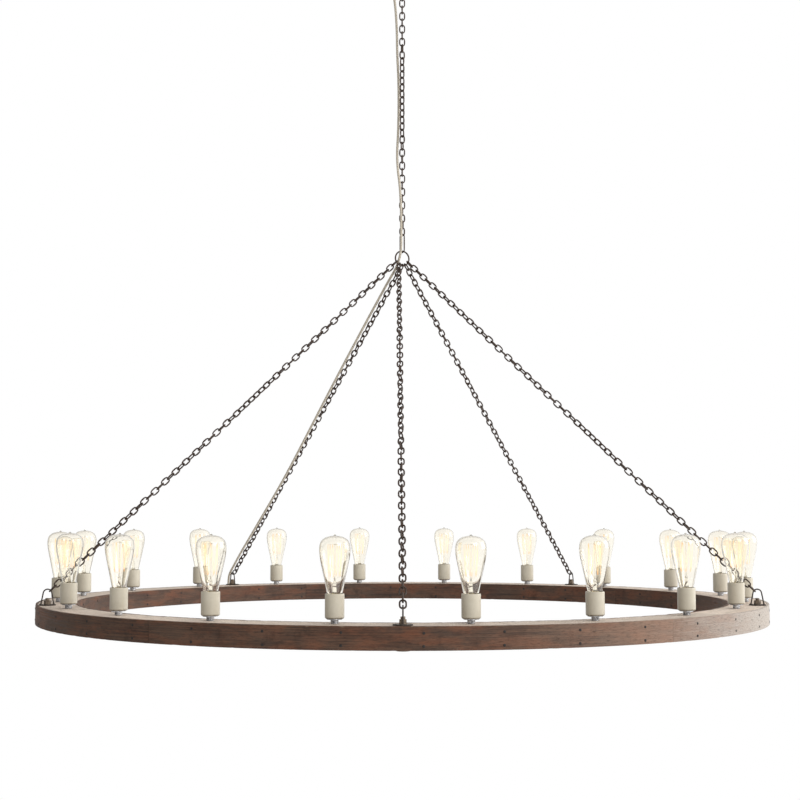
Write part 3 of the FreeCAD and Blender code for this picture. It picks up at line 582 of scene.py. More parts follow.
@dataclass(frozen=True)
class Timber(Recipe):
    """Old stained wood: streaks of three browns, lighter and redder patches, dark grime, rubbed edges, and,
    where set, a painted sheen towards +X.
    """

    dark: Colour
    middle: Colour
    light: Colour
    patch: Colour
    grey: Colour
    bare: Colour
    patch_share: float = 0.5
    grey_share: float = 0.4
    wear: float = 0.5
    relief: float = 0.0005
    dust: float = 0.3
    # Share and colours of a painted sheen towards +X, standing in for the light from the right.
    painted_sheen_share: float = 0.0
    painted_sheen_colours: tuple[Colour, Colour] = ((0.34, 0.225, 0.165), (0.44, 0.395, 0.35))

    def sockets(self, g: Graph, effects: Effects) -> dict[str, Any]:
        """What goes into the shader's sockets, by their names."""
        place, tone = g.place(), g.attribute("tone")
        grain = g.group(effects.grain, {"Along": g.uv(), "Tone": tone})
        streaks = g.band(grain["Streaks"], 0.3, 0.7)
        base = g.ramp(streaks, ((0.0, self.dark), (0.5, self.middle), (1.0, self.light)))
        smeared = g.stretched(g.uv(), (9.0, 22.0, 1.0))
        cloud = g.group(effects.mottle, {"Place": smeared, "Size": 1.0, "Tone": g.times(tone, 17.0)})
        figure = g.band(grain["Figure"], 0.4, 0.68)
        base = g.blend(g.times(figure, self.patch_share), base, self.patch)
        base = g.blend(g.times(cloud["Patches"], self.grey_share), base, self.grey)
        shade = g.band(tone, 0.0, 1.0, 0.78, 1.12)
        even = g.add("CombineColor", {0: shade, 1: shade, 2: shade}).outputs[0]
        base = g.blend(1.0, base, even, "MULTIPLY")
        grime = g.band(g.noise(place, 23.0, detail=6.0, rough=0.7), 0.52, 0.75, 0.0, 0.55)
        base = g.blend(grime, base, tuple(part * 0.35 for part in self.dark))
        worn = g.group(effects.wear, {"Place": place, "Edge": g.attribute("worn"), "Amount": self.wear})
        base = g.blend(worn["Mask"], base, self.bare)
        # Painted sheen: the wood is made paler towards +X, where the light from the right falls on it.
        if self.painted_sheen_share:
            base = self.with_painted_sheen(g, base, place, grain)
        pores = g.times(g.maths("SUBTRACT", 1.0, grain["Pores"]), 0.65)
        base = g.blend(pores, base, tuple(part * 0.4 for part in self.dark))
        return {
            "Base Color": base, "Roughness": g.band(streaks, 0.0, 1.0, 0.58, 0.82),
            "Specular IOR Level": 0.25, "Sheen Weight": self.dust, "Sheen Roughness": 0.45,
            "Sheen Tint": self.bare, "Normal": g.bump(grain["Height"], self.relief),
        }

    def with_painted_sheen(self, g: Graph, base: Any, place: Any, grain: Any) -> Any:
        """The colour made paler towards +X, first to a dull pink and then to grey: a painted sheen of the
        light from that side.

        Args:
            g: the material's graph.
            base: colour so far.
            place: object coordinates.
            grain: outputs of the wood grain group.

        Returns:
            The colour.
        """
        patchy = g.maths("ADD", g.parts(place)[0], g.times(grain["Streaks"], 0.34))
        grey = g.band(g.maths("SUBTRACT", patchy, g.times(grain["Figure"], 0.3)), 0.5, 0.85)
        pale = g.blend(grey, *self.painted_sheen_colours)
        return g.blend(g.band(patchy, 0.22, 1.17, 0.0, self.painted_sheen_share), base, pale)


@dataclass(frozen=True)
class Metal(Recipe):
    """Metal with a coating or rust: two tones in patches, and specks of a third."""

    base: Colour
    patch: Colour
    speck: Colour
    metallic: float = 1.0
    rough: tuple[float, float] = (0.35, 0.6)
    size: float = 90.0
    speck_share: float = 0.5
    patch_share: float = 0.7
    relief: float = 0.0001

    def sockets(self, g: Graph, effects: Effects) -> dict[str, Any]:
        """What goes into the shader's sockets, by their names."""
        inputs = {"Place": g.place(), "Size": self.size, "Tone": g.attribute("tone")}
        cloud = g.group(effects.mottle, inputs)
        colour = g.blend(g.times(cloud["Patches"], self.patch_share), self.base, self.patch)
        colour = g.blend(g.times(cloud["Specks"], self.speck_share), colour, self.speck)
        rough = g.band(cloud["Patches"], 0.0, 1.0, *self.rough)
        return {"Base Color": colour, "Metallic": self.metallic, "Roughness": rough,
                "Normal": g.bump(cloud["Specks"], self.relief)}


@dataclass(frozen=True)
class Porcelain(Recipe):
    """Glazed off-white clay: faint warm clouds, fine crackle and specks in a brown-grey, and painted shade in
    the same brown-grey low down, where it sits on its plate.
    """

    glaze: Colour
    warm: Colour
    dirt_and_shade: Colour
    low: float
    high: float
    size: float = 55.0
    crackle_size: float = 420.0

    def sockets(self, g: Graph, effects: Effects) -> dict[str, Any]:
        """What goes into the shader's sockets, by their names."""
        place = g.place()
        tone = g.times(g.attribute("tone"), 9.0)
        cloud = g.group(effects.mottle, {"Place": place, "Size": self.size, "Tone": tone})
        colour = g.blend(cloud["Patches"], self.glaze, self.warm)
        streaks = g.noise(g.stretched(place, (260.0, 260.0, 8.0)), detail=4.0, rough=0.6)
        # Painted shade: darker towards the foot of the socket, from high down to low, where it sits on its
        # plate; the streaks break it up.
        low = g.band(g.parts(place)[2], self.low * MM, self.high * MM, 0.95, 0.0)
        edge = {"Vector": place, "Scale": self.crackle_size}
        cells = g.add("TexVoronoi", edge, feature="DISTANCE_TO_EDGE").outputs[0]
        crackle = g.band(cells, 0.0, 0.03)
        stain = g.times(low, g.band(streaks, 0.35, 0.65, 0.35, 1.0))
        specks = g.times(cloud["Specks"], 0.04)
        cracks = g.times(g.maths("SUBTRACT", 1.0, crackle), 0.06)
        # The first share is that painted shade; the specks and the cracks are dirt.
        for share in (stain, specks, cracks):
            colour = g.blend(share, colour, self.dirt_and_shade)
        return {
            "Base Color": colour, "Roughness": g.band(streaks, 0.3, 0.7, 0.34, 0.5), "Coat Weight": 0.25,
            "Coat Roughness": 0.18, "Specular IOR Level": 0.5, "Normal": g.bump(crackle, 0.00003),
        }


@dataclass(frozen=True)
class Plain(Recipe):
    """Moulded plastic or insulation: one colour with faint clouds and an orange-peel skin."""

    base: Colour
    shade: Colour
    rough: float = 0.5
    size: float = 140.0
    relief: float = 0.00005

    def sockets(self, g: Graph, effects: Effects) -> dict[str, Any]:
        """What goes into the shader's sockets, by their names."""
        cloud = g.group(effects.mottle, {"Place": g.place(), "Size": self.size})
        return {"Base Color": g.blend(cloud["Patches"], self.base, self.shade),
                "Roughness": g.band(cloud["Specks"], 0.0, 1.0, self.rough, self.rough + 0.1),
                "Normal": g.bump(cloud["Patches"], self.relief)}


@dataclass(frozen=True)
class FloorPaint(Recipe):
    """Matt paint in two near whites."""

    base: Colour
    shade: Colour

    def sockets(self, g: Graph, effects: Effects) -> dict[str, Any]:
        """What goes into the shader's sockets, by their names."""
        return {"Base Color": g.blend(g.noise(g.place(), 3.0), self.base, self.shade), "Roughness": 0.8}


@dataclass(frozen=True)
class BraidedCloth(Recipe):
    """Cotton braid over a cord: two sets of strands that cross at a slant, over UV along and round it."""

    thread: Colour
    shadow: Colour
    stain: Colour
    pitch: float = 0.0075
    girth: float = 0.0204
    ends: float = 8.0
    relief: float = 0.0004

    def sockets(self, g: Graph, effects: Effects) -> dict[str, Any]:
        """What goes into the sockets: strands are sin(pi ends (along / pitch +- around / girth))."""
        split = g.parts(g.uv())
        along = g.times(split[0], self.ends / self.pitch)
        around = g.times(split[1], self.ends / self.girth)
        right, left = (g.maths("SINE", g.times(g.maths(sign, along, around), math.pi))
                       for sign in ("ADD", "SUBTRACT"))
        height = g.band(g.maths("ABSOLUTE", g.times(right, left)), 0.0, 0.9)
        fuzz = g.noise(g.stretched(g.place(), (900.0, 900.0, 900.0)), detail=3.0, rough=0.7)
        cloud = g.group(effects.mottle, {"Place": g.place(), "Size": 30.0})
        colour = g.blend(height, self.shadow, self.thread)
        colour = g.blend(g.times(cloud["Patches"], 0.35), colour, self.stain)
        colour = g.blend(g.band(fuzz, 0.4, 0.8, 0.0, 0.25), colour, self.shadow)
        raised = g.maths("ADD", height, g.times(fuzz, 0.3))
        return {"Base Color": colour, "Roughness": 0.9, "Sheen Weight": 0.3, "Sheen Roughness": 0.5,
                "Normal": g.bump(raised, self.relief)}


@dataclass(frozen=True)
class BulbGlass(Recipe):
    """Clear blown glass with an amber tint, deeper where it is seen edge on, and faint drawn streaks."""

    tint: Colour
    rim: Colour
    bend: float

    def sockets(self, g: Graph, effects: Effects) -> dict[str, Any]:
        """What goes into the shader's sockets, by their names."""
        streaks = g.noise(g.stretched(g.place(), (40.0, 40.0, 6.0)), detail=1.0, rough=0.4)
        facing = g.add("LayerWeight", {"Blend": 0.5}).outputs["Facing"]
        return {"Base Color": g.blend(g.band(facing, 0.45, 0.9), self.tint, self.rim), "Roughness": 0.0,
                "IOR": self.bend, "Transmission Weight": 1.0, "Normal": g.bump(streaks, 0.0002, 0.1)}


@dataclass(frozen=True)
class Glow(Recipe):
    """Lit filament: bright in the middle of its height and redder towards its hooks."""

    hot: Colour
    cool: Colour
    unlit: Colour
    strength: float
    low: float
    high: float

    def sockets(self, g: Graph, effects: Effects) -> dict[str, Any]:
        """What goes into the shader's sockets, by their names."""
        share = g.band(g.parts(g.place())[2], self.low * MM, self.high * MM)
        ends = g.maths("ABSOLUTE", g.maths("SUBTRACT", share, 0.5))
        colour = g.ramp(g.times(ends, 2.0), ((0.0, self.hot), (0.8, self.hot), (1.0, self.cool)))
        return {"Base Color": self.unlit, "Roughness": 0.5, "Emission Color": colour,
                "Emission Strength": self.strength}


class Finish(Enum):
    """The finishes by the part they are made for. The value is the material's name."""

    TOP_WOOD = "top_wood"
    OUTER_BAND = "outer_band_wood"
    INNER_BAND = "inner_band_wood"
    UNDER_WOOD = "under_wood"
    PORCELAIN = "porcelain"
    ZINC = "zinc"
    SCREW = "screw_steel"
    CHAIN = "chain_iron"
    BLACK_IRON = "black_iron"
    NUT = "nut_steel"
    NAIL = "nail_iron"
    BRASS = "brass"
    CAP = "bulb_cap"
    BLACK_PLASTIC = "black_plastic"
    CONNECTOR = "connector_plastic"
    WIRE = "wire_insulation"
    CLOTH = "cord_cloth"
    GLASS = "bulb_glass"
    STEM = "stem_glass"
    FILAMENT = "filament"
    FLOOR = "floor_pale"


RECIPES: dict[Finish, Recipe] = {
    Finish.TOP_WOOD: Timber((0.12, 0.08, 0.06), (0.36, 0.28, 0.22), (0.52, 0.44, 0.37), (0.44, 0.34, 0.27),
                            (0.5, 0.45, 0.4), (0.58, 0.5, 0.42), dust=0.7),
    # The outer band is painted paler towards +X: painted sheen of the light from the right.
    Finish.OUTER_BAND: Timber((0.027, 0.013, 0.008), (0.057, 0.028, 0.017), (0.1, 0.053, 0.033),
                              (0.17, 0.057, 0.025), (0.078, 0.055, 0.04), (0.2, 0.15, 0.11),
                              patch_share=0.55, wear=0.3, dust=0.22, painted_sheen_share=0.92),
    Finish.INNER_BAND: Timber((0.03, 0.015, 0.010), (0.07, 0.036, 0.024), (0.12, 0.064, 0.042),
                              (0.19, 0.065, 0.03), (0.1, 0.072, 0.053), (0.2, 0.15, 0.11),
                              patch_share=0.6, wear=0.3, dust=0.22),
    Finish.UNDER_WOOD: Timber((0.1, 0.06, 0.04), (0.24, 0.16, 0.11), (0.36, 0.27, 0.19), (0.3, 0.19, 0.12),
                              (0.3, 0.25, 0.2), (0.42, 0.34, 0.26), patch_share=0.4),
    # Its third colour is for dirt specks and crackle, and for the painted shade at the socket's foot, between
    # the two heights.
    Finish.PORCELAIN: Porcelain((0.48, 0.435, 0.345), (0.45, 0.405, 0.315), (0.1, 0.08, 0.06),
                                low=RIM_TOP + 10.4, high=RIM_TOP + 14),
    Finish.ZINC: Metal((0.62, 0.62, 0.63), (0.16, 0.16, 0.17), (0.3, 0.28, 0.26), metallic=0.95,
                       rough=(0.22, 0.4), size=230.0, speck_share=0.3, patch_share=0.85),
    Finish.SCREW: Metal((0.12, 0.12, 0.12), (0.2, 0.19, 0.18), (0.06, 0.05, 0.05), metallic=0.9),
    Finish.CHAIN: Metal((0.026, 0.018, 0.013), (0.06, 0.034, 0.022), (0.15, 0.06, 0.028), metallic=0.3,
                        rough=(0.45, 0.7), size=110.0, speck_share=0.45, relief=0.0002),
    Finish.BLACK_IRON: Metal((0.03, 0.022, 0.017), (0.055, 0.038, 0.028), (0.12, 0.06, 0.035), metallic=0.4,
                             rough=(0.45, 0.65), size=120.0, speck_share=0.35, relief=0.00015),
    Finish.NUT: Metal((0.13, 0.1, 0.075), (0.28, 0.22, 0.16), (0.1, 0.05, 0.03), metallic=0.6,
                      rough=(0.35, 0.55), size=150.0, speck_share=0.4),
    Finish.NAIL: Metal((0.008, 0.006, 0.005), (0.018, 0.012, 0.009), (0.06, 0.03, 0.018), metallic=0.1,
                       rough=(0.6, 0.8), size=300.0, speck_share=0.25),
    Finish.BRASS: Metal((0.6, 0.42, 0.18), (0.42, 0.28, 0.12), (0.25, 0.16, 0.08), rough=(0.25, 0.45),
                        size=120.0, speck_share=0.3),
    Finish.CAP: Metal((0.62, 0.5, 0.32), (0.5, 0.4, 0.26), (0.3, 0.22, 0.14), rough=(0.2, 0.4),
                      size=150.0, speck_share=0.25),
    Finish.BLACK_PLASTIC: Plain((0.02, 0.02, 0.02), (0.035, 0.034, 0.032), rough=0.4),
    Finish.CONNECTOR: Plain((0.75, 0.36, 0.06), (0.68, 0.3, 0.05), rough=0.45),
    Finish.WIRE: Plain((0.75, 0.73, 0.68), (0.68, 0.66, 0.6)),
    Finish.CLOTH: BraidedCloth((0.72, 0.66, 0.55), (0.4, 0.34, 0.26), (0.6, 0.52, 0.4)),
    Finish.GLASS: BulbGlass((0.99, 0.968, 0.91), (0.5, 0.45, 0.37), bend=1.47),
    Finish.STEM: BulbGlass((0.97, 0.95, 0.9), (0.8, 0.74, 0.64), bend=1.22),
    Finish.FILAMENT: Glow((1.0, 0.78, 0.42), (0.9, 0.42, 0.1), (0.35, 0.2, 0.08), strength=1.15,
                          low=RIM_TOP + 91, high=RIM_TOP + 157),
    Finish.FLOOR: FloorPaint((0.8, 0.8, 0.8), (0.83, 0.83, 0.82)),
}

# CAD nodes that keep their own shape, by the finish that they get.
DRESSED: dict[Finish, tuple[str, ...]] = {
    Finish.WIRE: ("rim_wiring",),
    Finish.ZINC: ("socket_base_plates", "socket_couplings", "socket_nipples", "socket_locknuts",
                  "ceiling_strap", "strap_locknut", "canopy_nipple"),
    Finish.SCREW: ("socket_set_screws",),
    Finish.BRASS: ("socket_screw_shells", "socket_contacts", "earth_screw"),
    Finish.BLACK_IRON: ("anchor_plates",),
    Finish.NUT: ("anchor_nuts", "anchor_washers"),
    Finish.CHAIN: ("canopy", "canopy_loop", "collar_nut"),
    Finish.BLACK_PLASTIC: ("cord_bushing", "cord_grommet"),
    Finish.CONNECTOR: ("wire_connectors",),
}


class Palette:
    """Every finish as a material, made once."""

    def __init__(self) -> None:
        """Builds all the materials."""
        effects = Effects()
        self._made = {finish: recipe.material(finish.value, effects) for finish, recipe in RECIPES.items()}

    def __getitem__(self, finish: Finish) -> bpy.types.Material:
        """The material of a finish."""
        return self._made[finish]


@dataclass
class Shop:
    """What the classes need to hand their pieces in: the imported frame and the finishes."""

    nodes: dict[str, bpy.types.Object]
    palette: Palette

    def hand_in(self, surface: Surface, name: str, finish: Finish, body: str, slot: str,
                replaces: Sequence[str] = (), crease: float = 38.0) -> bpy.types.Object:
        """Makes a piece, rides it on its body and hides the CAD nodes that it stands for.

        Args:
            surface: its shape.
            name: its name.
            finish: its finish.
            body: the body that it rides on.
            slot: the name of a material slot; not used.
            replaces: CAD nodes that it stands for.
            crease: edges sharper than this many degrees are shaded sharp.

        Returns:
            The piece.
        """
        piece = surface.piece(name, self.palette[finish], crease)
        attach(piece, body)
        if replaces:
            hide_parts(*replaces)
        log.info("%s: %d faces on %s", name, len(piece.data.polygons), body)
        return piece

    def dress(self) -> None:
        """Gives the CAD nodes that keep their shape their finishes."""
        for finish, names in DRESSED.items():
            for name in names:
                node = self.nodes[name]
                if not node.material_slots:
                    node.data.materials.append(None)
                for holder in node.material_slots:
                    holder.material = self.palette[finish]
                log.info("%s: CAD shape, %s", name, finish.value)


# ---------------------------------------------------------------- chains

@dataclass(frozen=True)
class Link:
    """Link of round wire with straight sides, its long axis on Z and its width on X."""

    length: float = 25.4
    width: float = 16.6
    wire: float = 3.8
    bow_steps: int = 6
    sides: int = 6
    weld: float = 0.16

    def surface(self) -> Surface:
        """The link's skin.

        The centre line is two half circles and two straight sides: (b cos a, +-h + b sin a), with b half
        of width less wire and h half of length less width. At the middle of one side the wire swells by
        the weld's share.

        Returns:
            The surface, centred at the origin.
        """
        bow = (self.width - self.wire) / 2
        half = (self.length - self.width) / 2
        up = np.linspace(0, math.pi, self.bow_steps)
        angle = np.concatenate([[0.0], up, [math.pi], up + math.pi])
        lift = np.concatenate([[0.0], np.full(self.bow_steps, half), [0.0], np.full(self.bow_steps, -half)])
        middle = np.zeros(len(angle), bool)
        middle[[0, self.bow_steps + 1]] = True
        outward = np.stack([np.cos(angle), 0 * angle, np.sin(angle)], axis=1)
        centre = outward * bow
        centre[:, 2] = np.where(middle, 0.0, centre[:, 2] + lift)
        radius = np.full(len(angle), self.wire / 2)
        radius[0] *= 1 + self.weld
        turn = np.arange(self.sides) * 2 * math.pi / self.sides + math.pi / self.sides
        ring = (np.cos(turn)[None, :, None] * outward[:, None]
                + np.sin(turn)[None, :, None] * np.array([0.0, 1.0, 0.0]))
        points = centre[:, None] + radius[:, None, None] * ring
        return Surface.grid(points, wrap_rows=True, wrap_columns=True)


@dataclass(frozen=True)
class Stay:
    """One of the five chains between the gathering ring and the wheel."""

    name: str
    anchor_angle: float
    ring_angle: float


STAYS = (
    Stay("front", 0.0, -30.0), Stay("right", 72.0, 60.0), Stay("back_right", 144.0, 30.0),
    Stay("back_left", -144.0, 0.0), Stay("left", -72.0, -60.0),
)


@dataclass(frozen=True)
class Bail:
    """Bent rod that a stay hooks onto: two legs up from a plate, and an arc over them."""

    circle_r: float = 888.0
    wire: float = 3.2
    foot: float = 15.0
    plate: float = 2.5
    arc_r: float = 10.0
    arc_height: float = 28.0


@dataclass
class Chains:
    """Main chain, carrier link, gathering ring and stays, on the same lines as in the CAD."""

    shop: Shop
    link: Link = Link()
    bail: Bail = Bail()
    hook_gap: float = 0.2
    loop_low: float = -75.5
    loop_wire: float = 5.0
    main_links: int = 38
    stay_links: int = 69
    carrier: Link = Link(52.0, 17.5, 3.2, 17, 14, 0.12)
    carrier_turn: float = -40.0
    ring_radius: float = 19.5
    ring_wire: float = 4.0
    ring_turn: float = 25.0
    wobble: float = 38.0

    def reach(self, first: float, second: float) -> float:
        """Distance between the centre lines of two wires that hang in each other."""
        return (first + second) / 2 + self.hook_gap

    def heights(self) -> dict[str, float]:
        """Heights of the top link's upper bow, the carrier's two bows and the ring's centre."""
        centre_length = self.link.length - self.link.wire
        pitch = centre_length - self.link.wire - self.hook_gap
        top = self.loop_low + self.reach(self.loop_wire, self.link.wire)
        low = top - centre_length - (self.main_links - 1) * pitch
        carrier_high = low + self.reach(self.link.wire, self.carrier.wire)
        carrier_low = carrier_high - (self.carrier.length - self.carrier.wire)
        ring = carrier_low + self.reach(self.carrier.wire, self.ring_wire) - self.ring_radius
        return {"top": top, "pitch": pitch, "carrier_high": carrier_high, "carrier_low": carrier_low,
                "ring": ring}

    @staticmethod
    def row(link: Link, first: Array, along: Array, pitch: float, widths: Array, tones: Array) -> Surface:
        """Links in a row, each with its own direction across and its own tone.

        Args:
            link: the kind of link.
            first: centre of the first one.
            along: direction of the row.
            pitch: distance from link to link.
            widths: count x 3 directions across.
            tones: count tones.

        Returns:
            One surface of all the links.
        """
        axis = np.broadcast_to(unit(along), widths.shape)
        turns = np.stack([widths, np.cross(axis, widths), axis], axis=-1)
        centres = first + axis * (pitch * np.arange(len(widths)))[:, None]
        return link.surface().placed(turns, centres, tones)

    def main_widths(self) -> Array:
        """Directions across the main chain's links: a quarter turn from each to the next and a slow twist."""
        number = np.arange(1, self.main_links + 1)
        twist = 45 * ease((number - 8) / 5) + 45 * ease((number - 21) / 8)
        return level(90 * (number - 1) + twist + self.ring_turn * ease((number - 33) / 5))

    def stay(self, stay: Stay, ring_z: float) -> Surface:
        """Taut chain from the gathering ring to its bail.

        The chain pulls square to the bail's rod, so the bail's hook is at radius R - r cos(slope) and
        height h + r sin(slope), worked out by repeating slope = atan(fall / run) until it settles.

        Args:
            stay: which one.
            ring_z: height of the gathering ring's centre.

        Returns:
            One surface of all its links.
        """
        bail = self.bail
        plane = level(self.ring_turn)
        ring_turn = math.radians(stay.ring_angle)
        upright = np.array([0.0, 0.0, 1.0])
        start = plane * (self.ring_radius * math.sin(ring_turn))
        start = start + upright * (ring_z - self.ring_radius * math.cos(ring_turn))
        tangent = plane * math.cos(ring_turn) + upright * math.sin(ring_turn)
        slope = math.radians(45)
        for _ in range(12):
            end = polar(bail.circle_r - bail.arc_r * math.cos(slope), stay.anchor_angle,
                        RIM_TOP + bail.arc_height + bail.arc_r * math.sin(slope))
            run = end - start
            slope = math.atan2(-run[2], math.hypot(run[0], run[1]))
        along = unit(run)
        centre_length = self.link.length - self.link.wire
        hook = self.reach(self.ring_wire, self.link.wire) / np.linalg.norm(np.cross(along, tangent))
        ends = centre_length - hook - self.reach(bail.wire, self.link.wire)
        pitch = (np.linalg.norm(run) - ends) / (self.stay_links - 1)
        first = np.cross(tangent, along)
        first = unit(first - along * (first @ along))
        across = np.cross(along, first)
        plate_side = polar(1.0, stay.anchor_angle + 90)
        end_turn = math.degrees(math.atan2(plate_side @ across, plate_side @ first))
        odd_turn = (end_turn - 90 * (self.stay_links - 1) + 90) % 180 - 90
        share = np.linspace(0, 1, self.stay_links)
        sway = np.sin(np.radians(5 * stay.anchor_angle / 3 + 900 * share))
        wobble = self.wobble * np.sin(math.pi * share) * sway
        turn = np.radians(90 * np.arange(self.stay_links) + odd_turn * share + wobble)
        widths = first * np.cos(turn)[:, None] + across * np.sin(turn)[:, None]
        tones = np.random.default_rng(int(stay.anchor_angle) + 200).random(self.stay_links)
        return self.row(self.link, start + along * (centre_length / 2 - hook), along, pitch, widths, tones)

    def ring(self, centre_z: float) -> Surface:
        """Gathering ring: a wire on a circle, a little thicker where it was welded.

        Args:
            centre_z: height of its centre.

        Returns:
            The ring's surface.
        """
        turn = np.arange(64) * 2 * math.pi / 64
        radial = np.sin(turn)[:, None] * level(self.ring_turn)
        radial[:, 2] = -np.cos(turn)
        weld = np.exp(-((turn - 2.2) / 0.09) ** 2)
        path = radial * self.ring_radius + np.array([0.0, 0.0, centre_z])
        return round_bar(path, radial, self.ring_wire / 2 * (1 + 0.07 * weld), 16, loop=True, tone=0.4)

    def build(self) -> None:
        """Makes and hands in every chain piece."""
        at = self.heights()
        down = np.array([0.0, 0.0, -1.0])
        widths = self.main_widths()
        top = down * ((self.link.length - self.link.wire) / 2 - at["top"])
        top_link = Link(self.link.length, self.link.width, self.link.wire, 11, 10)
        tones = np.random.default_rng(11).random(self.main_links)
        middle = down * -(at["carrier_high"] + at["carrier_low"]) / 2
        pieces = [
            (self.row(top_link, top, down, 0.0, widths[:1], np.array([0.5])),
             "chain_top_link_skin", "top_link", "chain_top_link"),
            (self.row(self.link, top + down * at["pitch"], down, at["pitch"], widths[1:], tones[1:]),
             "main_chain_links", "main_chain", "main_chain"),
            (self.row(self.carrier, middle, down, 0.0, level([self.carrier_turn]), np.array([0.3])),
             "carrier_link_skin", "carrier", "carrier_link"),
            (self.ring(at["ring"]), "gathering_ring_skin", "wheel", "gathering_ring"),
        ]
        for stay in STAYS:
            links = self.stay(stay, at["ring"])
            pieces.append((links, f"stay_links_{stay.name}", "wheel", f"stay_chain_{stay.name}"))
        for surface, name, body, node in pieces:
            self.shop.hand_in(surface, name, Finish.CHAIN, body, "chain_iron", [node])


# ---------------------------------------------------------------- the wheel's rim

class Side(Enum):
    """The two bent bands: the sign is the way that the open side faces."""

    OUTER = 1
    INNER = -1


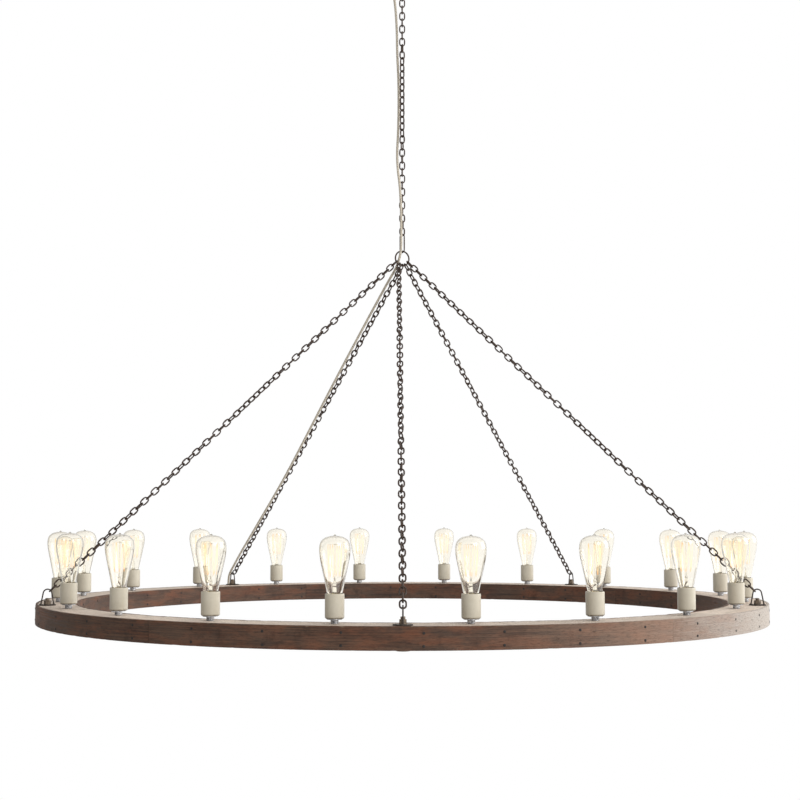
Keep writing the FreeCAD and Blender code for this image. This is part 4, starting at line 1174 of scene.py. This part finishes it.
@dataclass
class Rim:
    """Boards, bands and nails."""

    shop: Shop
    outer_r: float = 914.4
    width: float = 101.6
    height: float = 47.0
    band: float = 6.0
    top_board: float = 16.0
    bottom_board: float = 12.0
    felloes: int = 10
    strips: int = 5
    butt_gap: float = 0.7
    nail_columns: int = 36
    nail_first: float = 2.5
    nail_depths: tuple[float, float] = (12.5, 38.5)

    def band_strip(self, side: Side, start: float, number: int) -> Surface:
        """One bent strip: its section carried round the wheel, with chips out of its top edge.

        The section is the strip's outline with eased edges. At a distance s along the strip, each point
        moves in from the open top and bottom edges by chip(s) times a bell of its distance from them, and
        the open side moves inwards by a slow waviness.

        Args:
            side: outer or inner band.
            start: station of its first end.
            number: which strip, for its random chips.

        Returns:
            The strip's surface.
        """
        out = side.value
        open_r = self.outer_r if side is Side.OUTER else self.outer_r - self.width
        board_r = open_r - out * self.band
        levels = np.linspace(-self.height + 1.5, -1.5, 9)
        face = np.stack([np.full(9, open_r), levels], axis=1)
        corner_low = eased([(board_r, -self.height), (open_r, -self.height), (open_r, -1.0)], 1.3, 4)[1:-1]
        corner_top = eased([(open_r, -30.0), (open_r, 0.0), (board_r, 0.0)], 1.1, 4)[1:-1]
        inner = np.array([(board_r, 0.0), (board_r, -self.height)])
        inset = [(open_r - out * 3.0, 0.0)]
        section = np.concatenate([inner[1:], corner_low, face, corner_top, inset, inner[:1]])
        sweep = 360 / self.strips
        trim = math.degrees(self.butt_gap / 2 / open_r)
        steps = int(sweep * math.pi / 180 * open_r / 5.0)
        angle = np.linspace(start + trim, start + sweep - trim, steps)
        s = np.radians(angle - start) * open_r
        seed = number * 7 + (100 if side is Side.OUTER else 500)
        chips = np.maximum(wander(s / 11.0, seed) - 0.72, 0) * 5.0
        chips += np.maximum(wander(s / 60.0, seed + 1) - 0.74, 0) * 6.0 + wander(s / 9.0, seed + 2) * 0.2
        low_chips = np.maximum(wander(s / 13.0, seed + 3) - 0.76, 0) * 4.0
        wave = wander(s / 70.0, seed + 4) * 0.5 + wander(s / 17.0, seed + 5) * 0.18
        r, z = section[:, 0], section[:, 1]
        from_top = np.exp(-(((r - open_r) / 2.6) ** 2 + (z / 2.2) ** 2))
        from_low = np.exp(-(((r - open_r) / 2.2) ** 2 + ((z + self.height) / 2.0) ** 2))
        showing = np.abs(r - open_r) < 0.5
        high, low = chips[:, None] * from_top, low_chips[:, None] * from_low
        inward = high * 0.6 + low * 0.6 + wave[:, None] * showing
        drop = high * 0.8 - low * 0.7
        points = polar(r[None, :] - out * inward, angle[:, None], RIM_TOP + z[None, :] - drop)
        edge = np.clip(from_top + from_low, 0, 1)
        return self.capped(points, edge, number * 0.217 % 1, self.section_uv(section, s))

    @staticmethod
    def section_uv(section: Array, along: Array) -> Array:
        """UV of a carried section: distance along the run, and distance round the section's outline.

        Args:
            section: the section's outline.
            along: distance of each of its places along the run.

        Returns:
            The UV, with one more row at each end for the caps.
        """
        runs = np.linalg.norm(np.diff(section, axis=0, append=section[:1]), axis=1)
        around = np.concatenate([[0], np.cumsum(runs)])
        ends = np.concatenate([along[:1], along, along[-1:]])
        return np.stack(np.broadcast_arrays(ends[:, None], around[None, :]), axis=-1)

    @staticmethod
    def capped(points: Array, edge: Array, tone: float, uv: Array) -> Surface:
        """Carried section with both of its ends closed onto their middle points.

        Args:
            points: rows x columns x 3.
            edge: worn-edge share of each column.
            tone: tone of the piece.
            uv: the UV, with a row more at each end.

        Returns:
            The closed surface.
        """
        first, last = (np.broadcast_to(row.mean(axis=1, keepdims=True), row.shape)
                       for row in (points[:1], points[-1:]))
        return Surface.grid(np.concatenate([first, points, last]), uv, edge[None, :], tone, wrap_columns=True)

    def board(self, start: float, high: float, thick: float, number: int, seed: int) -> Surface:
        """One sawn board of a ring: a sector with eased edges, a little lower or higher than its neighbours.

        Its grain is straight: UV is the place in the board's own plane, U along its middle tangent.

        Args:
            start: station of its first end.
            high: height of its top above the rim's top.
            thick: thickness.
            number: which board.
            seed: for its random parts.

        Returns:
            The board's surface.
        """
        outer = self.outer_r - self.band - 0.25
        inner = self.outer_r - self.width + self.band + 0.25
        radii = np.linspace(inner + 1.2, outer - 1.2, 12)
        corner = 0.9
        top = np.stack([radii, np.zeros(12)], axis=1)
        section = np.concatenate([
            [(inner, -thick + corner), (inner, -corner)], top, [(outer, -corner), (outer, -thick + corner)],
            np.stack([radii[::-1], np.full(12, -thick)], axis=1),
        ])
        sweep = 360 / self.felloes
        trim = math.degrees(self.butt_gap / 2 / outer)
        angle = np.linspace(start + trim, start + sweep - trim, 61)
        s = np.radians(angle - start) * outer
        r, z = section[:, 0], section[:, 1]
        rng = np.random.default_rng(seed + number)
        sunk = rng.random() * 0.35
        upper = z > -thick / 2
        worn = np.maximum(wander(s / 19.0, seed + 40 + number) - 0.55, 0) * 2.2
        at_edge = np.exp(-((np.minimum(np.abs(r - outer), np.abs(r - inner)) / 2.5) ** 2)) * upper
        warp = wander(s / 45.0, seed + 80 + number)[:, None] * 0.15
        drop = sunk * upper + worn[:, None] * at_edge + warp * upper
        points = polar(r[None, :], angle[:, None], RIM_TOP + high + z[None, :] - drop)
        middle = math.radians(start + sweep / 2)
        tangent = np.array([math.cos(middle), math.sin(middle), 0.0])
        outward = np.array([math.sin(middle), -math.cos(middle), 0.0])
        across = points @ outward + points[..., 2] * (~upper)
        flat = np.stack([points @ tangent + 900 * number, across], axis=-1)
        flat = np.concatenate([flat[:1], flat, flat[-1:]])
        flat = np.concatenate([flat, flat[:, :1]], axis=1)
        return self.capped(points, at_edge * 0.9, float(rng.random()), flat)

    def nails(self) -> Surface:
        """Nails in pairs round both bands: low domed heads, each a little tilted and of its own size."""
        outline = np.array([(0.0, 26.75), (1.5, 26.7), (2.4, 26.45), (3.0, 26.05), (2.95, 25.7), (1.1, 25.6),
                            (1.1, 3.0), (0.0, 0.5)])
        nail = turned(outline, 9, edge=np.array([0.6, 0.2, 0.3, 0.8, 0.5, 0, 0, 0]))
        angle = np.repeat(self.nail_first + np.arange(self.nail_columns) * 360 / self.nail_columns, 2)
        depth = np.tile(self.nail_depths, self.nail_columns)
        rng = np.random.default_rng(77)
        parts = []
        for side in Side:
            open_r = self.outer_r if side is Side.OUTER else self.outer_r - self.width
            outward = polar(1.0, angle) * side.value
            upright = np.tile([0.0, 0.0, 1.0], (len(angle), 1)) + rng.normal(0, 0.03, (len(angle), 3))
            axis = unit(outward + rng.normal(0, 0.02, outward.shape))
            across = unit(upright - axis * (upright * axis).sum(axis=1, keepdims=True))
            size = rng.uniform(0.92, 1.0, len(angle))
            turns = np.stack([across * size[:, None], np.cross(axis, across) * size[:, None], axis], axis=-1)
            foot = polar(open_r - side.value * 26.0, angle, RIM_TOP - depth)
            parts.append(nail.placed(turns, foot, rng.random(len(angle))))
        return joined(parts)

    def build(self) -> None:
        """Makes and hands in the rim."""
        step, strip, low = 360 / self.felloes, 360 / self.strips, self.bottom_board - self.height
        pieces = (
            ([self.board(13.5 + step * i, 0.0, self.top_board, i, 900) for i in range(self.felloes)],
             "rim_top_board_ring", Finish.TOP_WOOD, "top_wood", "rim_top_boards"),
            ([self.board(27.5 + step * i, low, self.bottom_board, i, 1300) for i in range(self.felloes)],
             "rim_bottom_board_ring", Finish.UNDER_WOOD, "under_wood", "rim_bottom_boards"),
            ([self.band_strip(Side.OUTER, 37.5 + strip * i, i) for i in range(self.strips)],
             "rim_outer_strips", Finish.OUTER_BAND, "band_wood", "rim_outer_band"),
            ([self.band_strip(Side.INNER, 57.5 + strip * i, i) for i in range(self.strips)],
             "rim_inner_strips", Finish.INNER_BAND, "band_wood", "rim_inner_band"),
            ([self.nails()], "rim_nail_heads", Finish.NAIL, "nail_iron", "rim_nails"),
        )
        for surfaces, name, finish, slot, node in pieces:
            self.shop.hand_in(joined(surfaces), name, finish, "wheel", slot, [node])


# ---------------------------------------------------------------- lamps

@dataclass
class Lamps:
    """Twenty porcelain lampholders with their bulbs."""

    shop: Shop
    count: int = 20
    circle_r: float = 860.5
    first_angle: float = 9.0
    socket_r: float = 19.4
    socket_top: float = 59.0
    glass: float = 0.8
    strands: int = 12
    cage_top: tuple[float, float] = (14.0, 155.5)
    cage_bottom: tuple[float, float] = (11.5, 93.0)
    strand_r: float = 0.28

    def stations(self) -> Array:
        """Stations of the lamps."""
        return self.first_angle + np.arange(self.count) * 360 / self.count

    def body(self) -> Surface:
        """Porcelain body: base with a chamfer, straight side, rounded lip and the well for the bulb."""
        outline = [(5.0, 10.0), (17.2, 10.0), (18.8, 11.6), (self.socket_r, 13.4), (self.socket_r, 57.6),
                   (18.6, self.socket_top), (17.5, self.socket_top), (17.2, 53.0), (14.5, 51.4), (14.5, 29.0),
                   (5.0, 29.0)]
        return turned(eased(outline, 0.45, 4, closed=True), 48, closed=True)

    def envelope(self) -> Surface:
        """Teardrop glass: its outer line from the tip down to the neck, then its inner line back up.

        The inner line is the outer one moved along its normals by the glass's thickness.
        """
        line = flowing([(13.6, -2.4), (15.2, 1.0), (20.6, 27.0), (26.8, 55.7), (30.5, 74.8), (31.4, 89.0),
                        (28.7, 101.6), (20.8, 109.4), (11.5, 112.8), (2.8, 114.1)], 4)
        slope = unit(np.gradient(line, axis=0))
        inner = line + np.stack([-slope[:, 1], slope[:, 0]], axis=1) * self.glass
        tip = np.array([(0.0, 116.5), (1.2, 116.3), (2.0, 115.6), (2.3, 114.7)])
        outline = np.concatenate([tip, line[::-1], inner, [(0.0, 114.1 - self.glass)]])
        outline[:, 1] += self.socket_top
        return turned(np.maximum(outline, [[0.0, -1e9]]), 40)

    def cap(self) -> Surface:
        """Screw cap: contact, insulator and rolled threads, the cosine of z over their pitch."""
        start, end, pitch = 38.5, 55.0, 3.6
        z = np.linspace(start, end, 34)
        thread = 13.2 - 0.55 * (0.5 + 0.5 * np.cos((z - start) / pitch * 2 * math.pi))
        outline = np.concatenate([[(0.0, 33.0), (4.6, 33.0), (4.6, 34.0), (10.8, 36.4), (12.4, 37.6)],
                                  np.stack([thread, z], axis=1), [(12.9, 56.6), (0.0, 56.6)]])
        return turned(outline, 28)

    def stem(self) -> Surface:
        """Glass stem flared onto the cap, with the rod that carries the cage and the hooks round its bead."""
        outline = flowing([(7.0, 56.7), (5.2, 61.0), (3.6, 68.0), (3.2, 74.6), (3.5, 80.6), (1.9, 84.0),
                           (1.05, 86.5), (1.0, 116.0), (1.0, 152.0), (1.3, 153.7)], 3)
        bead = np.array([(2.5, 154.5), (2.7, 155.5), (2.4, 156.5), (1.2, 157.4), (0.0, 157.5)])
        rod = turned(np.concatenate([[(0.0, 56.7)], outline, bead]), 16)
        hooks = np.arange(self.strands // 2) * 60.0
        runs = [np.stack([polar(root, turn, z), polar(reach - 0.5, turn, end)], axis=1)
                for root, z, turn, (reach, end) in ((1.0, 155.5, hooks + 30, self.cage_top),
                                                    (0.8, 87.0, hooks + 60, self.cage_bottom))]
        return joined([rod] + [self.wire(run, 0.3) for run in np.concatenate(runs)])

    @staticmethod
    def wire(run: Array, radius: float) -> Surface:
        """Thin straight wire between two points.

        Args:
            run: its two ends.
            radius: its radius.

        Returns:
            The wire's surface.
        """
        share = np.linspace(0, 1, 5)[:, None]
        path = run[0] * (1 - share) + run[1] * share
        side = np.array([0.3, 0.2, 1.0]) if abs(run[1][2] - run[0][2]) < 30 else np.array([1.0, 0.3, 0.0])
        return round_bar(path, side, radius, 6)

    def cage(self) -> Surface:
        """Cage filament: strands up and down between the upper and the lower hooks, each a little bowed."""
        number = np.arange(self.strands + 1)
        high = number % 2 == 1
        radius = np.where(high, self.cage_top[0], self.cage_bottom[0])
        height = np.where(high, self.cage_top[1], self.cage_bottom[1])
        knots = polar(radius, number * 30.0 * np.where(high, 1.0, 355 / 360), height)
        share = np.linspace(0, 1, 9)[None, :, None]
        lines = knots[:-1, None] * (1 - share) + knots[1:, None] * share
        outward = unit(lines * np.array([1.0, 1.0, 0.0]))
        lines = lines + outward * (0.9 * np.sin(math.pi * share))
        return joined(round_bar(line, np.array([1.0, 0.3, 0.0]), self.strand_r, 6) for line in lines)

    def build(self) -> None:
        """Makes and hands in the sockets and the bulbs."""
        sockets = round_wheel(self.body(), self.circle_r, self.stations(), 21)
        self.shop.hand_in(sockets, "socket_porcelain", Finish.PORCELAIN, "wheel", "porcelain",
                          ["socket_bodies"])
        kinds = (
            (self.envelope(), "glass", Finish.GLASS, "bulb_glass"),
            (self.cap(), "cap", Finish.CAP, "bulb_cap"),
            (self.stem(), "stem", Finish.STEM, "bulb_glass"),
            (self.cage(), "cage", Finish.FILAMENT, "filament"),
        )
        for number, angle in enumerate(self.stations(), start=1):
            body = f"bulb_{number:02d}"
            for surface, kind, finish, slot in kinds:
                tone = np.array([number * 0.37 % 1])
                copy = surface.placed(about_z([angle]), polar(self.circle_r, [angle], RIM_TOP), tone)
                stands_for = [body] if kind == "glass" else []
                self.shop.hand_in(copy, f"{body}_{kind}", finish, body, slot, stands_for, crease=50.0)


# ---------------------------------------------------------------- anchors

@dataclass
class Anchors:
    """Five bolted plates with bent-rod bails."""

    shop: Shop
    bail: Bail = Bail()
    bolt_r: float = 5.0
    bolt_end: float = 17.0
    thread: float = 1.5
    thread_depth: float = 0.45
    segments: int = 28

    def rods(self) -> Surface:
        """Rod bent to a narrow U with spread feet, in the YZ plane, with a weld bead at each foot.

        The straight legs touch the top arc: from the foot, the tangent point lies at
        atan(z / y) + acos(r / distance) round the arc's centre.
        """
        bail = self.bail
        reach_y, reach_z = bail.foot, bail.plate - bail.arc_height
        turn = math.atan2(reach_z, reach_y) + math.acos(bail.arc_r / math.hypot(reach_y, reach_z))
        arc = np.linspace(turn, math.pi - turn, 15)
        rise = bail.arc_height + bail.arc_r * np.sin(arc)
        bend = np.stack([0 * arc, bail.arc_r * np.cos(arc), rise], axis=1)
        share = np.linspace(0, 1, 7)[:-1, None]
        leg = np.array([0.0, bail.foot, bail.plate]) * (1 - share) + bend[0] * share
        path = np.concatenate([leg, bend, (leg * [1, -1, 1])[::-1]])
        rng = np.random.default_rng(5)
        radius = bail.wire / 2 * (1 + 0.03 * rng.standard_normal(len(path)))
        rod = round_bar(path, np.array([1.0, 0.0, 0.0]), radius, 12)
        bead_line = np.array([(0.0, 2.0), (2.6, 2.0), (3.2, 2.5), (2.9, 3.3), (2.1, 4.2), (1.3, 5.0),
                              (0.0, 5.2)])
        bead = turned(bead_line, 14)
        spots = np.array([(0.0, bail.foot, 0.0), (0.0, -bail.foot, 0.0)])
        return joined([rod, bead.placed(np.tile(np.eye(3), (2, 1, 1)), spots)])

    def bolt(self) -> Surface:
        """Bolt with a flat head under the rim and a thread at its upper end.

        The thread's radius is R - depth * wave(z / pitch - turn), a ridge that climbs one pitch a turn.
        """
        head = [(0.0, -49.5), (13.5, -49.5), (15.0, -48.0), (15.0, -47.05), (5.0, -47.0)]
        z = np.concatenate([[-44.0, -20.0], np.linspace(0.0, self.bolt_end - 0.4, 68)])
        outline = np.concatenate([eased(head, 0.6, 3), np.stack([np.full(len(z), self.bolt_r), z], axis=1),
                                  [(4.3, self.bolt_end), (0.0, self.bolt_end)]])
        bolt = turned(outline, self.segments)
        points = bolt.points.reshape(len(outline), self.segments, 3)
        radius = outline[:, :1]
        turn = np.arange(self.segments)[None, :] / self.segments
        phase = points[..., 2] / self.thread - turn
        depth = self.thread_depth * np.abs((phase % 1) * 2 - 1)
        cut = ((points[..., 2] > 0) & (radius == self.bolt_r)) * depth
        shrink = 1 - cut / np.maximum(radius, 1e-6)
        points[..., :2] *= shrink[..., None]
        return Surface(points.reshape(-1, 3), bolt.quads, bolt.uv, bolt.edge, bolt.tone)

    def build(self) -> None:
        """Makes and hands in the anchors."""
        angle = np.array([stay.anchor_angle for stay in STAYS])
        rods = round_wheel(self.rods(), self.bail.circle_r, angle, 31)
        self.shop.hand_in(rods, "anchor_bail_rods", Finish.BLACK_IRON, "wheel", "black_iron",
                          ["anchor_bails"])
        bolts = round_wheel(self.bolt(), self.bail.circle_r, angle, 32)
        self.shop.hand_in(bolts, "anchor_bolt_threads", Finish.NUT, "wheel", "nut_steel", ["anchor_bolts"],
                          crease=30.0)


# ---------------------------------------------------------------- cord

@dataclass(frozen=True)
class CordPart:
    """A length of the cord that crosses one joint: high and low are heights; its bodies, upper and lower, and
    the blend's ends, bend_high and bend_low, are not used.
    """

    name: str
    upper: str
    lower: str
    high: float
    low: float
    bend_high: float
    bend_low: float
    stands_for: str


@dataclass
class ClothCord:
    """Cream cloth cord from the ceiling to the wheel, hung along the chains."""

    palette: Palette
    diameter: float = 6.5
    drop_route: tuple[tuple[float, float, float], ...] = (
        (-24.0, 9.0, -52.0), (-24.0, 9.0, -80.0), (-17.5, 7.5, -126.0), (-13.8, 6.0, -190.0),
        (-13.2, 6.4, -252.0), (-9.6, 9.4, -318.0), (-9.0, 10.0, -392.0), (-10.2, 9.0, -462.0),
        (-13.6, 3.8, -520.0), (-12.0, -8.6, -566.0), (-5.6, -12.8, -616.0), (-2.4, -13.2, -680.0),
        (-2.4, -13.2, -738.0),
    )
    stay_route: tuple[tuple[float, float, float], ...] = (
        (-2.4, -13.2, -738.0), (-2.4, -13.2, -760.0), (-3.0, -11.8, -783.0), (-6.6, -2.4, -803.0),
        (-15.6, 10.8, -828.0), (-35.3, 34.7, -856.7), (-63.0, 71.2, -901.5), (-94.3, 111.4, -952.4),
        (-127.9, 154.9, -1007.9), (-165.4, 204.8, -1070.0), (-201.4, 254.4, -1130.3),
        (-237.0, 304.5, -1190.5), (-271.6, 353.5, -1249.3), (-306.4, 402.4, -1308.1),
        (-342.7, 452.5, -1367.8), (-380.5, 503.1, -1426.2), (-418.0, 553.7, -1481.9),
        (-455.1, 604.6, -1537.5), (-489.5, 651.8, -1588.5), (-514.7, 685.4, -1629.5),
        (-529.6, 704.8, -1653.5), (-533.441, 710.061, -1670.390), (-533.441, 710.061, -1686.090),
    )
    parts: tuple[CordPart, ...] = (
        CordPart("cord_at_ceiling", "ceiling", "top_link", -52.0, -93.5, -52.0, -92.5, "cord_drop"),
        CordPart("cord_on_main_chain", "top_link", "main_chain", -93.5, -738.0, -93.5, -150.0, "cord_drop"),
        CordPart("cord_at_carrier", "main_chain", "carrier", -738.0, -780.0, -738.0, -778.0, "cord_stay"),
        CordPart("cord_on_stay", "carrier", "wheel", -780.0, -1686.1, -780.0, -830.0, "cord_stay"),
    )

    @staticmethod
    def spline_points(route: Sequence[tuple[float, float, float]]) -> Array:
        """Points of the smooth line that has a route's points as its control points.

        Args:
            route: the control points in millimetres.

        Returns:
            Points read from Blender's own NURBS line, in millimetres.
        """
        curve = bpy.data.curves.new("cord_route", "CURVE")
        curve.dimensions = "3D"
        curve.resolution_u = 14
        spline = curve.splines.new("NURBS")
        spline.points.add(len(route) - 1)
        flat = np.concatenate([np.array(route) * MM, np.ones((len(route), 1))], axis=1)
        spline.points.foreach_set("co", flat.ravel())
        spline.order_u = 3
        spline.use_endpoint_u = True
        holder = bpy.data.objects.new("cord_route", curve)
        mesh = bpy.data.meshes.new_from_object(holder)
        line = np.zeros(len(mesh.vertices) * 3)
        mesh.vertices.foreach_get("co", line)
        bpy.data.meshes.remove(mesh)
        bpy.data.objects.remove(holder)
        bpy.data.curves.remove(curve)
        return line.reshape(-1, 3) / MM

    def tube(self, line: Array) -> Surface:
        """Tube along a line, with a faint swelling of the braid: radius (1 + 0.02 (wander - 0.5))."""
        along = np.concatenate([[0], np.cumsum(np.linalg.norm(np.diff(line, axis=0), axis=1))])
        radius = self.diameter / 2 * (1 + 0.02 * (wander(along / 9.0, 61) - 0.5))
        return round_bar(line, np.array([0.8, 0.6, 0.0]), radius, 14)

    @staticmethod
    def nearest(line: Array, height: float) -> int:
        """Number of the line's point that is nearest to a height."""
        return int(np.argmin(np.abs(line[:, 2] - height)))

    def build(self) -> None:
        """Makes the cord's parts and hides the CAD nodes that they stand for."""
        routes = {"cord_drop": self.drop_route, "cord_stay": self.stay_route}
        lines = {node: self.spline_points(route) for node, route in routes.items()}
        for part in self.parts:
            line = lines[part.stands_for]
            line = line if line[0, 2] > line[-1, 2] else line[::-1]
            path = line[self.nearest(line, part.high):self.nearest(line, part.low) + 1]
            piece = self.tube(path).piece(part.name, self.palette[Finish.CLOTH])
            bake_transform(piece)
            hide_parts(part.stands_for)


# ---------------------------------------------------------------- camera and studio

@dataclass
class Studio:
    """Camera at the photograph's place, plain floor, white surroundings and soft lights."""

    lens: float = 63.27
    eye: tuple[float, float, float] = (-0.0057, -3.647, RIM_TOP * MM + 0.212)
    tilt_up: float = 4.71
    floor_z: float = -3.4
    floor_r: float = 4.0
    left: float = 0.3
    right: float = 1.7
    aim: tuple[float, float, float] = (0.0, 0.0, -1.4)

    def camera(self) -> None:
        """Makes the camera."""
        data = bpy.data.cameras.new("camera")
        data.lens = self.lens
        data.sensor_width = 36.0
        made = bpy.data.objects.new("camera", data)
        made.location = self.eye
        made.rotation_euler = (math.radians(90 + self.tilt_up), 0, 0)
        bpy.context.scene.collection.objects.link(made)
        bpy.context.scene.camera = made

    def floor(self, palette: Palette) -> None:
        """Pale round floor under the chandelier."""
        radius = np.array([0.0, 1.5, 3.0, self.floor_r])
        outline = np.stack([radius, np.full(4, self.floor_z)], axis=1) / MM
        turned(outline, 64).piece("floor", palette[Finish.FLOOR])

    def lights(self) -> None:
        """Soft lights: a large one at the right, and a smaller one at the front and to the right."""
        for name, place, power, size, colour in (
            ("key", (5.4, 0.2, 0.2), 100.0, 3.4, (1.0, 0.985, 0.96)),
            ("front", (2.8, -4.6, 1.0), 80.0, 2.4, (1.0, 0.99, 0.97)),
        ):
            data = bpy.data.lights.new(name, "AREA")
            data.energy = power
            data.size = size
            data.color = colour
            made = bpy.data.objects.new(name, data)
            made.location = place
            towards = np.array(self.aim) - place
            pitch = math.atan2(math.hypot(towards[0], towards[1]), -towards[2])
            made.rotation_euler = (pitch, 0, math.atan2(-towards[0], towards[1]))
            bpy.context.scene.collection.objects.link(made)

    def surroundings(self) -> None:
        """Room that is white to look at, dim on the left and bright on the right, and colours as they are.

        Its brightness goes from the left's to the right's, and to 1 straight behind the chandelier.
        """
        world = bpy.data.worlds.new("studio_room")
        world.use_nodes = True
        g = Graph(world.node_tree)
        way = g.parts(g.add("TexCoord").outputs["Generated"])
        share = g.times(g.maths("ADD", way[0], 1.0), 0.5)
        side = g.maths("ADD", g.times(share, self.right - self.left), self.left)
        behind = g.band(way[1], 0.8, 0.95)
        white = g.maths("MAXIMUM", behind, g.add("LightPath").outputs["Is Camera Ray"])
        lift = g.times(g.maths("SUBTRACT", 1.0, side), white)
        strength = g.maths("ADD", side, lift)
        g.fill(world.node_tree.nodes["Background"], {"Color": (1, 1, 1), "Strength": strength})
        bpy.context.scene.world = world
        bpy.context.scene.view_settings.view_transform = "Standard"


def main() -> None:
    """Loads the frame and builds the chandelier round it."""
    logging.basicConfig(level=logging.INFO, format="%(message)s")
    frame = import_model()
    studio = Studio()
    studio.camera()
    palette = Palette()
    ClothCord(palette).build()
    shop = Shop(frame["nodes"], palette)
    for part in (Rim(shop), Lamps(shop), Chains(shop), Anchors(shop)):
        part.build()
    shop.dress()
    studio.floor(palette)
    studio.lights()
    studio.surroundings()


if __name__ == "__main__":
    main()
